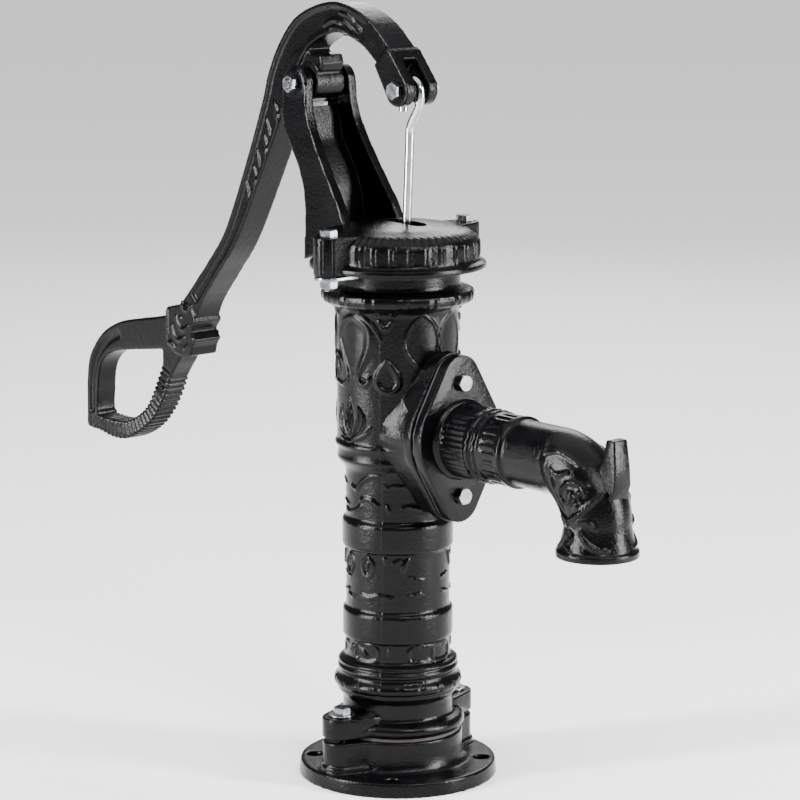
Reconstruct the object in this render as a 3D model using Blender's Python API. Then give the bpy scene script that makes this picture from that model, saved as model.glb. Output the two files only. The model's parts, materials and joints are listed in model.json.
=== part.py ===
"""Hand well pump: a cast-iron pitcher pump with a swan-neck lever handle.

Metres, +Z up.  The origin is the centre of the base flange's underside and +X points along the spout.
Driving dimensions are given in millimetres and turned to metres by MM.
"""
import math

import bmesh
import bpy
from mathutils import Matrix, Vector

MM = 0.001
GAP = 0.3                     # clearance between touching pieces
TRIM = 2.0                    # spare height on parts that are trimmed flat together

# Base
FLANGE_R = 84.0
FLANGE_T = 12.5
FLANGE_HOLE_R = 6.35
FLANGE_HOLE_CIRCLE_R = 71.0
POT_R = 54.8
BASE_TOP_Z = 39.0
SEAT_R = 20.0                 # valve seat and inlet bore
CHAMBER_R = 41.0
LUG_BOLT_Y = 62.6             # barrel-to-base bolts
POST_R = 16.0

# Foot valve
LEATHER_T = 2.4
FLAP_R = 26.0
FLAP_HINGE_X = -26.7
WEIGHT_R = 17.0

# Barrel
BARREL_BOTTOM_Z = BASE_TOP_Z + LEATHER_T + 2 * GAP
BORE_R = 38.1
BARREL_R = 43.7
UPPER_R = 50.8
UPPER_BORE_R = 44.5
BARREL_TOP_Z = 441.0
TOP_FLANGE_R = 62.5
TOP_FLANGE_T = 8.0
LUG_T = 17.5
LUG_R = 16.5

# Spout
SPOUT_Z = 299.4
SPOUT_FACE_X = 79.3
SPOUT_FLANGE_T = 9.5
SPOUT_GASKET_T = 1.5
SPOUT_BOLT_DZ = 47.2
EAR_DZ = 49.7                 # centre of the flange's round ears, above and below the spout
EAR_R = 20.0
FLANGE_MIDDLE_R = 45.0
SPOUT_TUBE_R = 27.2
SPOUT_BORE_R = 21.5
SPOUT_OUTLET_X = 237.8
SPOUT_BEND_R = 44.0
SPOUT_RIM_R = 33.3
SPOUT_OUTLET_Z = 230.0

# Cap and bracket
CAP_SEAT_Z = BARREL_TOP_Z + GAP
CAP_LIP_Z = 434.2
CAP_TOP_Z = 472.4
CAP_SKIRT_R = 68.0
CAP_LIP_R = 73.6
CAP_BOLT_Y = 74.9
CAP_BOSS_R = 12.5
CAP_BOSS_TOP_Z = 465.3
SLOT_X = (-14.0, 32.0)
SLOT_HALF_W = 8.5
PLATE_T = 2.7
CHEEK_OUT = 28.0              # outer face of a cheek at the pivot
CHEEK_T = 9.0
CHEEK_SPLAY = 0.055           # how much the cheeks spread for each millimetre down
PIVOT_BOSS_R = 12.5

# Handle
PIVOT_X = -99.5
PIVOT_Z = 580.5
PIN_X = 17.5
PIN_Z = 581.5
LEVER_HALF_W = 13.6
FORK_HALF_W = 17.0
FORK_SLOT_HALF_W = 7.2
FORK_R = 13.5
HUB_R = 15.0
GRIP_HALF_W = 11.0
RECESS = 5.0                  # depth of the I-section on each side of the lever

# Rod and plunger
ROD_R = 3.75
HOOK_R = 10.5
ROD_FOOT_X = -3.0
ROD_FOOT_Z = 188.0
PLUNGER_Z = 151.0             # underside of the follower with the handle at rest
CROWN_Z = 201.0

# M8 fasteners
BOLT_R = 4.0
HOLE_R = BOLT_R + GAP
HEX_R = 13.0 / math.sqrt(3.0)
HEAD_T = 5.3
NUT_T = 6.5
WASHER_R = 11.0
WASHER_T = 1.6

AXIS_TURN = {
    "+Z": Matrix.Identity(4),
    "+X": Matrix.Rotation(math.radians(90), 4, "Y"),
    "+Y": Matrix.Rotation(math.radians(-90), 4, "X"),
    "-Y": Matrix.Rotation(math.radians(90), 4, "X"),
}


# ---------------------------------------------------------------- outlines

def arc(cx, cy, r, start, end, steps):
    """Points on a circle from angle start to angle end, in degrees, both included."""
    points = []
    for i in range(steps + 1):
        a = math.radians(start + (end - start) * i / steps)
        points.append((cx + r * math.cos(a), cy + r * math.sin(a)))
    return points


def smooth(points, steps):
    """A Catmull-Rom curve through the points, ends included."""
    ends = [points[0]] + list(points) + [points[-1]]
    curve = []
    for i in range(1, len(ends) - 2):
        p0, p1, p2, p3 = (Vector(p) for p in ends[i - 1:i + 3])
        for k in range(steps):
            t = k / steps
            a = 2 * p1 + (p2 - p0) * t
            b = (2 * p0 - 5 * p1 + 4 * p2 - p3) * t * t
            c = (3 * p1 - p0 - 3 * p2 + p3) * t ** 3
            curve.append(tuple((a + b + c) * 0.5))
    curve.append(tuple(points[-1]))
    return curve


def band(spine, steps, grow=0.0):
    """Outline of a strip: spine is a list of (x, z, half width)."""
    rows = smooth(spine, steps)
    left = []
    right = []
    for i, (x, z, half) in enumerate(rows):
        before = rows[max(i - 1, 0)]
        after = rows[min(i + 1, len(rows) - 1)]
        run = Vector((after[0] - before[0], after[1] - before[1])).normalized()
        side = Vector((-run.y, run.x)) * (half + grow)
        left.append((x + side.x, z + side.y))
        right.append((x - side.x, z - side.y))
    return left + right[::-1]


def two_circles(c1, r1, c2, r2, steps=10):
    """Outline of two circles joined by their outer tangents, for centres on one line."""
    d = Vector(c2) - Vector(c1)
    lean = math.degrees(math.acos((r1 - r2) / d.length))
    along = math.degrees(math.atan2(d.y, d.x))
    near = arc(c1[0], c1[1], r1, along + lean, along + 360 - lean, steps)
    far = arc(c2[0], c2[1], r2, along - lean, along + lean, steps)
    return near + far


def diamond(grow=0.0):
    """Outline (y, z) of the spout's flange: a wide middle and two round bolt ears."""
    ear = EAR_R + grow
    middle = FLANGE_MIDDLE_R + grow
    lean = math.degrees(math.acos((middle - ear) / EAR_DZ))
    points = []
    for side, base in ((1, 90), (-1, 270)):
        points += arc(0, SPOUT_Z + side * EAR_DZ, ear, base - lean, base + lean, 8)
        points += arc(0, SPOUT_Z, middle, base + lean, base + 180 - lean, 3)
    return points


# ---------------------------------------------------------------- solids

def new_object(name, bm):
    """Makes an object of a closed mesh given in millimetres."""
    bmesh.ops.recalc_face_normals(bm, faces=bm.faces)
    bmesh.ops.scale(bm, vec=(MM, MM, MM), verts=bm.verts)
    if bm.calc_volume(signed=True) < 0:
        bmesh.ops.reverse_faces(bm, faces=bm.faces)
    mesh = bpy.data.meshes.new(name)
    bm.to_mesh(mesh)
    bm.free()
    obj = bpy.data.objects.new(name, mesh)
    bpy.context.scene.collection.objects.link(obj)
    return obj


def prism(name, outline, low, high, axis="Y", lean=0.0, lean_from=0.0):
    """Extrudes an outline along an axis.

    For axis Y the outline is (x, z), for X it is (y, z) and for Z it is (x, y).  A lean moves a wall
    along Y by lean for each millimetre below lean_from.
    """
    bm = bmesh.new()
    rings = []
    for level in (low, high):
        ring = []
        for u, v in outline:
            if axis == "Y":
                co = (u, level + lean * (lean_from - v), v)
            elif axis == "X":
                co = (level, u, v)
            else:
                co = (u, v, level)
            ring.append(bm.verts.new(co))
        rings.append(ring)
    count = len(outline)
    for i in range(count):
        j = (i + 1) % count
        bm.faces.new((rings[0][i], rings[0][j], rings[1][j], rings[1][i]))
    bm.faces.new(rings[0])
    bm.faces.new(rings[1][::-1])
    return new_object(name, bm)


def box(name, low, high):
    outline = [(low[0], low[1]), (high[0], low[1]), (high[0], high[1]), (low[0], high[1])]
    return prism(name, outline, low[2], high[2], "Z")


def turned(name, profile, segments=40, at=(0, 0, 0), axis="+Z"):
    """Turns a closed loop of (radius, height) about an axis; radius 0 is a point on the axis.

    A flat end is one face, so an axis point level with its neighbour makes no vertex.
    """
    bm = bmesh.new()
    rings = []
    for k, (r, h) in enumerate(profile):
        if r > 0:
            turns = [2 * math.pi * (i + 0.5) / segments for i in range(segments)]
            rings.append([bm.verts.new((r * math.cos(a), r * math.sin(a), h)) for a in turns])
        elif h in (profile[k - 1][1], profile[(k + 1) % len(profile)][1]):
            rings.append(None)
        else:
            rings.append([bm.verts.new((0, 0, h))])
    for k, a in enumerate(rings):
        b = rings[(k + 1) % len(rings)]
        if a is None or b is None:
            flat = b if a is None else a
            if flat is not None and len(flat) > 1:
                bm.faces.new(flat)
            continue
        if len(a) == 1 and len(b) == 1:
            continue
        for i in range(segments):
            j = (i + 1) % segments
            corners = [a[i % len(a)], a[j % len(a)], b[j % len(b)], b[i % len(b)]]
            bm.faces.new(list(dict.fromkeys(corners)))
    bmesh.ops.transform(bm, matrix=Matrix.Translation(at) @ AXIS_TURN[axis], verts=bm.verts)
    return new_object(name, bm)


def rod_solid(name, r, low, high, at=(0, 0, 0), axis="+Z", segments=24):
    return turned(name, [(0, low), (r, low), (r, high), (0, high)], segments, at, axis)


def swept(name, path, segments=24):
    """A round bar along a path in the XZ plane: path is a list of (x, z, radius)."""
    bm = bmesh.new()
    rings = []
    for i, (x, z, r) in enumerate(path):
        before = path[max(i - 1, 0)]
        after = path[min(i + 1, len(path) - 1)]
        run = Vector((after[0] - before[0], 0, after[1] - before[1])).normalized()
        side = run.cross(Vector((0, 1, 0)))
        ring = []
        for k in range(segments):
            a = 2 * math.pi * (k + 0.5) / segments
            co = Vector((x, 0, z)) + side * (r * math.cos(a)) + Vector((0, r * math.sin(a), 0))
            ring.append(bm.verts.new(co))
        rings.append(ring)
    for a, b in zip(rings, rings[1:]):
        for k in range(segments):
            n = (k + 1) % segments
            bm.faces.new((a[k], a[n], b[n], b[k]))
    bm.faces.new(rings[0])
    bm.faces.new(rings[-1][::-1])
    return new_object(name, bm)


def combine(body, tool, operation):
    """Joins a tool to a body, or cuts it away, and removes the tool."""
    modifier = body.modifiers.new("shape", "BOOLEAN")
    modifier.operation = operation
    modifier.solver = "EXACT"
    modifier.object = tool
    graph = bpy.context.evaluated_depsgraph_get()
    mesh = bpy.data.meshes.new_from_object(body.evaluated_get(graph))
    body.modifiers.clear()
    body.data = mesh
    bpy.data.objects.remove(tool)
    return body


def join(body, *tools):
    for tool in tools:
        combine(body, tool, "UNION")
    return body


def cut(body, *tools):
    for tool in tools:
        combine(body, tool, "DIFFERENCE")
    return body


def material(name, colour, roughness, metallic):
    mat = bpy.data.materials.new(name)
    mat.use_nodes = True
    shader = mat.node_tree.nodes["Principled BSDF"]
    shader.inputs["Base Color"].default_value = (*colour, 1.0)
    shader.inputs["Roughness"].default_value = roughness
    shader.inputs["Metallic"].default_value = metallic
    return mat


def finish(obj, mat, pivot=None):
    """Gives an object its material, smooth round faces and, when it moves, its joint's origin."""
    obj.data.materials.clear()
    obj.data.materials.append(mat)
    obj.data.shade_smooth()
    obj.data.set_sharp_from_angle(angle=math.radians(35))
    if pivot is not None:
        place = Vector(pivot) * MM
        obj.data.transform(Matrix.Translation(-place))
        obj.location = place
    return obj


# ---------------------------------------------------------------- fasteners

def hex_bolt(name, at, axis, length, mat, pivot=None):
    """A hex bolt whose head stands on the point at, with its shank going the other way."""
    bolt = turned(name, [(0, 0), (HEX_R, 0), (HEX_R, HEAD_T - 0.8), (HEX_R - 0.9, HEAD_T), (0, HEAD_T)], 6,
                  at, axis)
    shank = rod_solid("shank", BOLT_R, -length, 1.0, at, axis, 16)
    return finish(join(bolt, shank), mat, pivot)


def hex_nut(name, at, axis, mat, pivot=None, thickness=NUT_T):
    """A hex nut standing on the point at, with a clearance hole."""
    nut = turned(name, [(HOLE_R, 0), (HEX_R, 0), (HEX_R, thickness), (HOLE_R, thickness)], 6, at, axis)
    hole = rod_solid("hole", HOLE_R + 0.4, -2, thickness + 2, at, axis, 16)
    return finish(cut(nut, hole), mat, pivot)


def washer(name, at, axis, mat):
    rings = [(HOLE_R, 0), (WASHER_R, 0), (WASHER_R, WASHER_T), (HOLE_R, WASHER_T)]
    return finish(turned(name, rings, 24, at, axis), mat)


# ---------------------------------------------------------------- base and foot valve

def make_base(iron):
    top = BASE_TOP_Z + TRIM
    profile = [(0, 0), (FLANGE_R - 1, 0), (FLANGE_R, 1), (FLANGE_R - 1, FLANGE_T - 1), (FLANGE_R - 2, FLANGE_T)]
    profile += [(POT_R + 6, FLANGE_T), (POT_R + 2.5, FLANGE_T + 2), (POT_R + 0.6, FLANGE_T + 6)]
    profile += [(POT_R, top), (0, top)]
    base = turned("base", profile, 40)
    for side in (-1, 1):
        outline = two_circles((0, side * 40), 25, (0, side * LUG_BOLT_Y), POST_R)
        join(base, prism("post", outline, FLANGE_T - 4, top + 1, "Z"))
    cut(base, rod_solid("trim", FLANGE_R + 10, BASE_TOP_Z, top + 10))
    # inlet socket, chamber and valve seat
    inside = [(0, -5), (SEAT_R, -5), (SEAT_R, 16), (CHAMBER_R - 3, 19), (CHAMBER_R, BASE_TOP_Z - 11)]
    inside += [(CHAMBER_R - 4, BASE_TOP_Z - 7), (SEAT_R, BASE_TOP_Z - 6), (SEAT_R, BASE_TOP_Z + 5)]
    inside += [(0, BASE_TOP_Z + 5)]
    cut(base, turned("inside", inside, 32))
    for side in (-1, 1):
        cut(base, rod_solid("tapping", HOLE_R, 15, BASE_TOP_Z + 5, (0, side * LUG_BOLT_Y, 0)))
    for quarter in range(4):
        a = math.radians(45 + 90 * quarter)
        at = (FLANGE_HOLE_CIRCLE_R * math.cos(a), FLANGE_HOLE_CIRCLE_R * math.sin(a), 0)
        cut(base, rod_solid("hole", FLANGE_HOLE_R, -5, FLANGE_T + 5, at))
    finish(base, iron)


def make_foot_valve(leather, iron, steel):
    low = BASE_TOP_Z + GAP
    high = low + LEATHER_T
    ring = turned("base_gasket", [(28.7, low), (POT_R - 1.2, low), (POT_R - 1.2, high), (28.7, high)], 32)
    finish(ring, leather)
    hinge = (FLAP_HINGE_X, 0, low + LEATHER_T / 2)
    flap = rod_solid("foot_valve_flap", FLAP_R, low, high, segments=40)
    join(flap, box("tab", (FLAP_HINGE_X, -4.5, low), (-15, 4.5, high)))
    cut(flap, rod_solid("hole", HOLE_R, low - 5, high + 5))
    finish(flap, leather, hinge)
    top = high + GAP
    profile = [(HOLE_R, top), (WEIGHT_R - 1, top), (WEIGHT_R, top + 1.5), (WEIGHT_R - 1, top + 7), (10, top + 11),
               (HOLE_R, top + 11)]
    finish(turned("foot_valve_weight", profile, 32), iron, hinge)
    hex_bolt("foot_valve_screw", (0, 0, top + 11 + GAP), "+Z", 22, steel, hinge)
    rings = [(HOLE_R, low - 3), (14, low - 3), (14, low - GAP), (HOLE_R, low - GAP)]
    finish(turned("foot_valve_washer", rings, 28), steel, hinge)
    hex_nut("foot_valve_nut", (0, 0, low - 3 - GAP - 4.0), "+Z", steel, hinge, 4.0)


# ---------------------------------------------------------------- barrel

def barrel_profile():
    """Outer shape from the trimmed foot up to the top flange."""
    z0 = BARREL_BOTTOM_Z
    outer = [(0, z0 - TRIM), (BARREL_R + 9.5, z0 - TRIM)]
    outer += arc(50.8, z0 + 5.2, 5.7, -55, 90, 4)                     # rolled bead
    outer += [(46.5, z0 + 12), (46.5, z0 + 27), (50.0, z0 + 31), (51.6, z0 + 34)]
    outer += arc(48.0, 82.3, 5.4, -50, 50, 3)                         # belt
    outer += [(49.5, 89.5), (49.5, 91.5), (51.1, 93), (51.1, 96), (49.0, 97.3), (50.6, 98.6), (50.6, 101)]
    outer += [(BARREL_R + 0.3, 103.5), (BARREL_R + 0.3, 120)]
    outer += [(46.5, 121.5), (46.5, 145), (BARREL_R, 146.5)]          # lower band
    outer += [(BARREL_R, 197.5), (46.8, 199), (46.8, 222), (BARREL_R, 223.5)]
    outer += [(BARREL_R, 264), (BARREL_R + 1.2, 267), (49.2, 272), (51.2, 274.4), (50.2, 277.5)]
    outer += [(50.0, 284), (52.7, 286), (52.7, 289), (UPPER_R, 290.5)]
    outer += [(UPPER_R, 399), (52.0, 402), (61.5, 406.5), (63.2, 409), (63.2, 414), (61.5, 416.5), (52.2, 419)]
    outer += [(52.2, BARREL_TOP_Z - TOP_FLANGE_T), (TOP_FLANGE_R, BARREL_TOP_Z - TOP_FLANGE_T)]
    outer += [(TOP_FLANGE_R, BARREL_TOP_Z), (0, BARREL_TOP_Z)]
    return outer


def make_barrel(iron):
    barrel = turned("barrel", barrel_profile(), 32)
    z0 = BARREL_BOTTOM_Z
    for side in (-1, 1):
        outline = two_circles((0, side * 36), 27, (0, side * LUG_BOLT_Y), LUG_R)
        join(barrel, prism("lug", outline, z0 - TRIM - 1, z0 + LUG_T, "Z"))
    cut(barrel, rod_solid("trim", 100, z0 - TRIM - 10, z0))
    # spout pad: a plate and the web behind it
    face = SPOUT_FACE_X - SPOUT_FLANGE_T - SPOUT_GASKET_T - 2 * GAP
    pad = prism("pad", diamond(1.0), face - 10, face, "X")
    join(pad, prism("web", diamond(-9.0), 30, face - 6, "X"))
    join(barrel, pad)
    inside = [(0, z0 - 5), (BORE_R, z0 - 5), (BORE_R, 264), (BORE_R + 1, 268), (UPPER_BORE_R, 280),
              (UPPER_BORE_R, BARREL_TOP_Z + 5), (0, BARREL_TOP_Z + 5)]
    cut(barrel, turned("inside", inside, 28))
    cut(barrel, rod_solid("port", SPOUT_BORE_R + 1, 20, 100, (0, 0, SPOUT_Z), "+X", 32))
    for side in (-1, 1):
        cut(barrel, rod_solid("hole", HOLE_R, z0 - 5, z0 + LUG_T + 5, (0, side * LUG_BOLT_Y, 0)))
        at = (0, 0, SPOUT_Z + side * SPOUT_BOLT_DZ)
        cut(barrel, rod_solid("tapping", HOLE_R, 51, 90, at, "+X", 16))
    finish(barrel, iron)


# ---------------------------------------------------------------- spout

def spout_path(start, radius):
    """Centre line from the flange along +X, round the elbow and down, with a radius at each point."""
    path = []
    bend_x = SPOUT_OUTLET_X - SPOUT_BEND_R
    path.append((start, SPOUT_Z))
    path += arc(bend_x, SPOUT_Z - SPOUT_BEND_R, SPOUT_BEND_R, 90, 0, 8)
    path.append((SPOUT_OUTLET_X, SPOUT_OUTLET_Z + 15))
    return [(x, z, radius) for x, z in path]


def make_spout(iron):
    face = SPOUT_FACE_X
    back = face - SPOUT_FLANGE_T
    spout = prism("spout", diamond(), back, face, "X")
    join(spout, turned("collar", [(0, 0), (32, 0), (31, 5), (29.5, 8), (SPOUT_TUBE_R - 0.4, 12), (0, 12)], 36,
                       (face - 2, 0, SPOUT_Z), "+X"))
    path = spout_path(back + 3, SPOUT_TUBE_R)
    join(spout, swept("tube", path, 32))
    z = SPOUT_OUTLET_Z
    rim = [(0, z), (SPOUT_RIM_R, z), (SPOUT_RIM_R, z + 5), (30.5, z + 8), (28.5, z + 17), (27.6, z + 26),
           (0, z + 26)]
    join(spout, turned("bell", rim, 36, (SPOUT_OUTLET_X, 0, 0)))
    # bucket hook on the elbow's outer side
    hook = [(250, 264), (266, 264), (265.5, 300), (262, 326), (252.5, 326), (249, 308), (243, 296), (240, 285)]
    join(spout, prism("hook", hook, -9.5, 9.5, "Y"))
    inner = spout_path(back - 20, SPOUT_BORE_R)
    cut(spout, swept("bore", inner, 28))
    mouth = [(0, z - 5), (28.8, z - 5), (28.8, z + 3), (24.5, z + 12), (SPOUT_BORE_R - 0.6, z + 24), (0, z + 24)]
    cut(spout, turned("mouth", mouth, 40, (SPOUT_OUTLET_X, 0, 0)))
    for side in (-1, 1):
        at = (0, 0, SPOUT_Z + side * SPOUT_BOLT_DZ)
        cut(spout, rod_solid("hole", HOLE_R, back - 5, face + 5, at, "+X", 16))
    finish(spout, iron)


def make_spout_gasket(rubber):
    low = SPOUT_FACE_X - SPOUT_FLANGE_T - SPOUT_GASKET_T - GAP
    high = low + SPOUT_GASKET_T
    gasket = prism("spout_gasket", diamond(-0.8), low, high, "X")
    cut(gasket, rod_solid("port", SPOUT_BORE_R + 1, low - 5, high + 5, (0, 0, SPOUT_Z), "+X", 32))
    for side in (-1, 1):
        at = (0, 0, SPOUT_Z + side * SPOUT_BOLT_DZ)
        cut(gasket, rod_solid("hole", HOLE_R, low - 5, high + 5, at, "+X", 16))
    finish(gasket, rubber)


# ---------------------------------------------------------------- cap with bracket

def cheek_outline():
    """Side view (x, z) of a bracket cheek, from the pivot's round end down to the cap's lip."""
    front = smooth([(-84.6, 578), (-83.6, 562), (-77.5, 545), (-64.5, 523), (-49, 500), (-37, 483), (-28, 466)], 3)
    back = smooth([(-79, 464), (-80.5, 480), (-83.5, 494.5), (-89.5, 508.5), (-97, 521), (-105, 532), (-112.5, 545),
                   (-114.8, 558), (-114.5, 578)], 3)
    top = arc(PIVOT_X, PIVOT_Z, 15, 172, 8, 9)
    return front + [(-28, 440), (-79, CAP_LIP_Z)] + back + top


def web_outline():
    back = smooth([(-79, 464), (-80.5, 480), (-83.5, 494.5), (-89.5, 508.5), (-97, 521), (-105, 532), (-111, 543)], 3)
    front = smooth([(-103, 547), (-96.5, 535), (-88, 521.5), (-80.5, 508.5), (-74.5, 494.5), (-71.5, 480), (-70, 464)], 3)
    return [(-79, CAP_LIP_Z)] + back + front + [(-70, CAP_LIP_Z)]


def make_cap(iron):
    z = CAP_LIP_Z
    dome = [(0, z), (CAP_LIP_R - 1, z), (CAP_LIP_R, z + 2.5), (CAP_LIP_R - 0.8, z + 5.3), (CAP_SKIRT_R + 1, z + 7)]
    dome += [(CAP_SKIRT_R, z + 11), (CAP_SKIRT_R, 455), (66, 460), (60, 464.5), (45, 468.8), (25, 471.4), (0, CAP_TOP_Z)]
    cap = turned("cap_bracket", dome, 40)
    for side in (-1, 1):
        outline = two_circles((0, side * 50), 20, (0, side * CAP_BOLT_Y), CAP_BOSS_R)
        join(cap, prism("boss", outline, CAP_LIP_Z - 1.2, CAP_BOSS_TOP_Z, "Z"))
    for side in (-1, 1):
        inside = side * (CHEEK_OUT - CHEEK_T)
        outside = side * CHEEK_OUT
        cheek = prism("cheek", cheek_outline(), inside, outside, "Y", side * CHEEK_SPLAY, PIVOT_Z)
        axis = "+Y" if side > 0 else "-Y"
        join(cheek, rod_solid("boss", PIVOT_BOSS_R, CHEEK_OUT - CHEEK_T - 0.7, CHEEK_OUT + 0.8,
                              (PIVOT_X, 0, PIVOT_Z), axis, 28))
        join(cap, cheek)
    web = prism("web", web_outline(), -(CHEEK_OUT - 5), CHEEK_OUT - 5, "Y")
    for vertex in web.data.vertices:
        spread = CHEEK_SPLAY * (PIVOT_Z * MM - vertex.co.z)
        vertex.co.y += math.copysign(spread, vertex.co.y)
    join(cap, web)
    inside = [(0, z - 10), (63.2, z - 10), (63.2, CAP_SEAT_Z), (52, CAP_SEAT_Z), (52, 454), (48, 458.8), (30, 463.2),
              (0, 465)]
    cut(cap, turned("inside", inside, 32))
    slot = two_circles((SLOT_X[0] + SLOT_HALF_W, 0), SLOT_HALF_W, (SLOT_X[1] - SLOT_HALF_W, 0), SLOT_HALF_W)
    cut(cap, prism("slot", slot, 455, 480, "Z"))
    for side in (-1, 1):
        cut(cap, rod_solid("hole", HOLE_R, 420, 480, (0, side * CAP_BOLT_Y, 0), segments=16))
    cut(cap, rod_solid("pivot", HOLE_R, -50, 50, (PIVOT_X, 0, PIVOT_Z), "+Y", 20))
    finish(cap, iron)


def make_clamp(name, side, steel):
    """Clamp plate: hooks under the barrel's top flange, so that the cap can turn when it is loose."""
    high = BARREL_TOP_Z - TOP_FLANGE_T - GAP - 0.2
    inner = arc(0, 0, 53.5, 76, 104, 6)
    outer = arc(0, CAP_BOLT_Y, 12.0, 180, 0, 8)
    outline = [(x, side * y) for x, y in inner + outer]
    plate = prism(name, outline, high - PLATE_T, high, "Z")
    cut(plate, rod_solid("hole", HOLE_R, high - 10, high + 10, (0, side * CAP_BOLT_Y, 0), segments=16))
    finish(plate, steel)
    return high - PLATE_T


# ---------------------------------------------------------------- handle

ARM_SPINE = [(-2, 608, 10.5), (-27, 627, 11.5), (-64, 637, 12.8), (-103, 625, 14.5), (-124, 604, 15.3),
             (-138.5, 579, 15), (-148.5, 554.5, 13.5), (-174, 500.8, 11), (-205.5, 441, 8.7), (-232, 408.5, 8.2),
             (-259, 378, 9.5), (-276, 353, 15)]
GRIP_OUTER = [(-284, 366), (-308, 356.4), (-340, 350), (-372, 343.5), (-397.6, 332.3), (-414.5, 317), (-424.6, 300.6),
              (-429, 278), (-429.2, 252), (-428, 237.5), (-410, 236.5), (-392, 233), (-373, 233.5), (-356, 239),
              (-340, 247.5), (-328, 257), (-319, 267), (-312, 277), (-305, 289), (-298, 303), (-280, 330)]
GRIP_HOLE = [(-311, 325), (-340, 321), (-364, 317.5), (-388, 313), (-402, 304), (-409.5, 291), (-411.8, 272),
             (-412, 252), (-396, 248.8), (-372, 249.5), (-356, 254.5), (-341, 263.5), (-333, 271.5), (-326.5, 281),
             (-321.5, 290.5), (-316.5, 300), (-311.5, 311)]


def fork_outline():
    """Side view of the fork: a stub of the arm that ends round about the pin."""
    tip = arc(PIN_X, PIN_Z, FORK_R, 38, -145, 12)
    return [(-10.5, 601), (4.5, 615.5), (9, 613)] + tip


def make_handle(iron):
    handle = prism("handle", band(ARM_SPINE, 4), -LEVER_HALF_W, LEVER_HALF_W, "Y")
    # I-section: the web between the two rims, on both sides
    for side in (-1, 1):
        recess = prism("recess", band(ARM_SPINE[1:-1], 4, -4.0), side * (LEVER_HALF_W - RECESS),
                       side * (LEVER_HALF_W + 5), "Y")
        cut(handle, recess)
    hub_web = smooth([(-96, 596), (-101, 608), (-125, 600), (-141, 572), (-146, 548), (-118, 556), (-96, 566)], 2)
    join(handle, prism("hub_web", hub_web, -LEVER_HALF_W + 2, LEVER_HALF_W - 2, "Y"))
    join(handle, rod_solid("hub", HUB_R, -LEVER_HALF_W - 2, LEVER_HALF_W + 2, (PIVOT_X, 0, PIVOT_Z), "+Y", 36))
    join(handle, prism("fork", fork_outline(), -FORK_HALF_W, FORK_HALF_W, "Y"))
    join(handle, prism("grip", GRIP_OUTER, -GRIP_HALF_W, GRIP_HALF_W, "Y"))
    cut(handle, prism("grip_hole", GRIP_HOLE, -30, 30, "Y"))
    knot = arc(-281, 347, 21, 0, 345, 23)
    join(handle, prism("knot", knot, -LEVER_HALF_W - 1.5, LEVER_HALF_W + 1.5, "Y"))
    # fork slot, open at the tip and underneath
    slot = [(14.7, 607), (-4, 591.6), (10, 560), (45, 560), (45, 590)]
    cut(handle, prism("slot", slot, -FORK_SLOT_HALF_W, FORK_SLOT_HALF_W, "Y"))
    cut(handle, rod_solid("pivot", HOLE_R, -40, 40, (PIVOT_X, 0, PIVOT_Z), "+Y", 20))
    cut(handle, rod_solid("pin", HOLE_R, -40, 40, (PIN_X, 0, PIN_Z), "+Y", 20))
    finish(handle, iron, (PIVOT_X, 0, PIVOT_Z))


# ---------------------------------------------------------------- rod and plunger

def make_rod(steel):
    hook_z = PIN_Z - (HOOK_R - ROD_R - BOLT_R - GAP)
    stub = [(PIN_X - HOOK_R, hook_z - 16), (PIN_X - HOOK_R, hook_z - 8)]
    bend = arc(PIN_X, hook_z, HOOK_R, 180, 0, 10)
    front = PIN_X + HOOK_R
    crank = smooth([(front, hook_z - 4), (front - 2.2, hook_z - 12), (front - 8, hook_z - 21), (15.6, hook_z - 29),
                    (14.9, hook_z - 40)], 3)
    foot = [(x * 0.5 + ROD_FOOT_X * 0.5, z * 0.5 + ROD_FOOT_Z * 0.5) for x, z in crank[-1:]]
    path = [(x, z, ROD_R) for x, z in stub + bend + crank + foot + [(ROD_FOOT_X, ROD_FOOT_Z)]]
    finish(swept("rod", path, 12), steel, (PIN_X, 0, PIN_Z))


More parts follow.
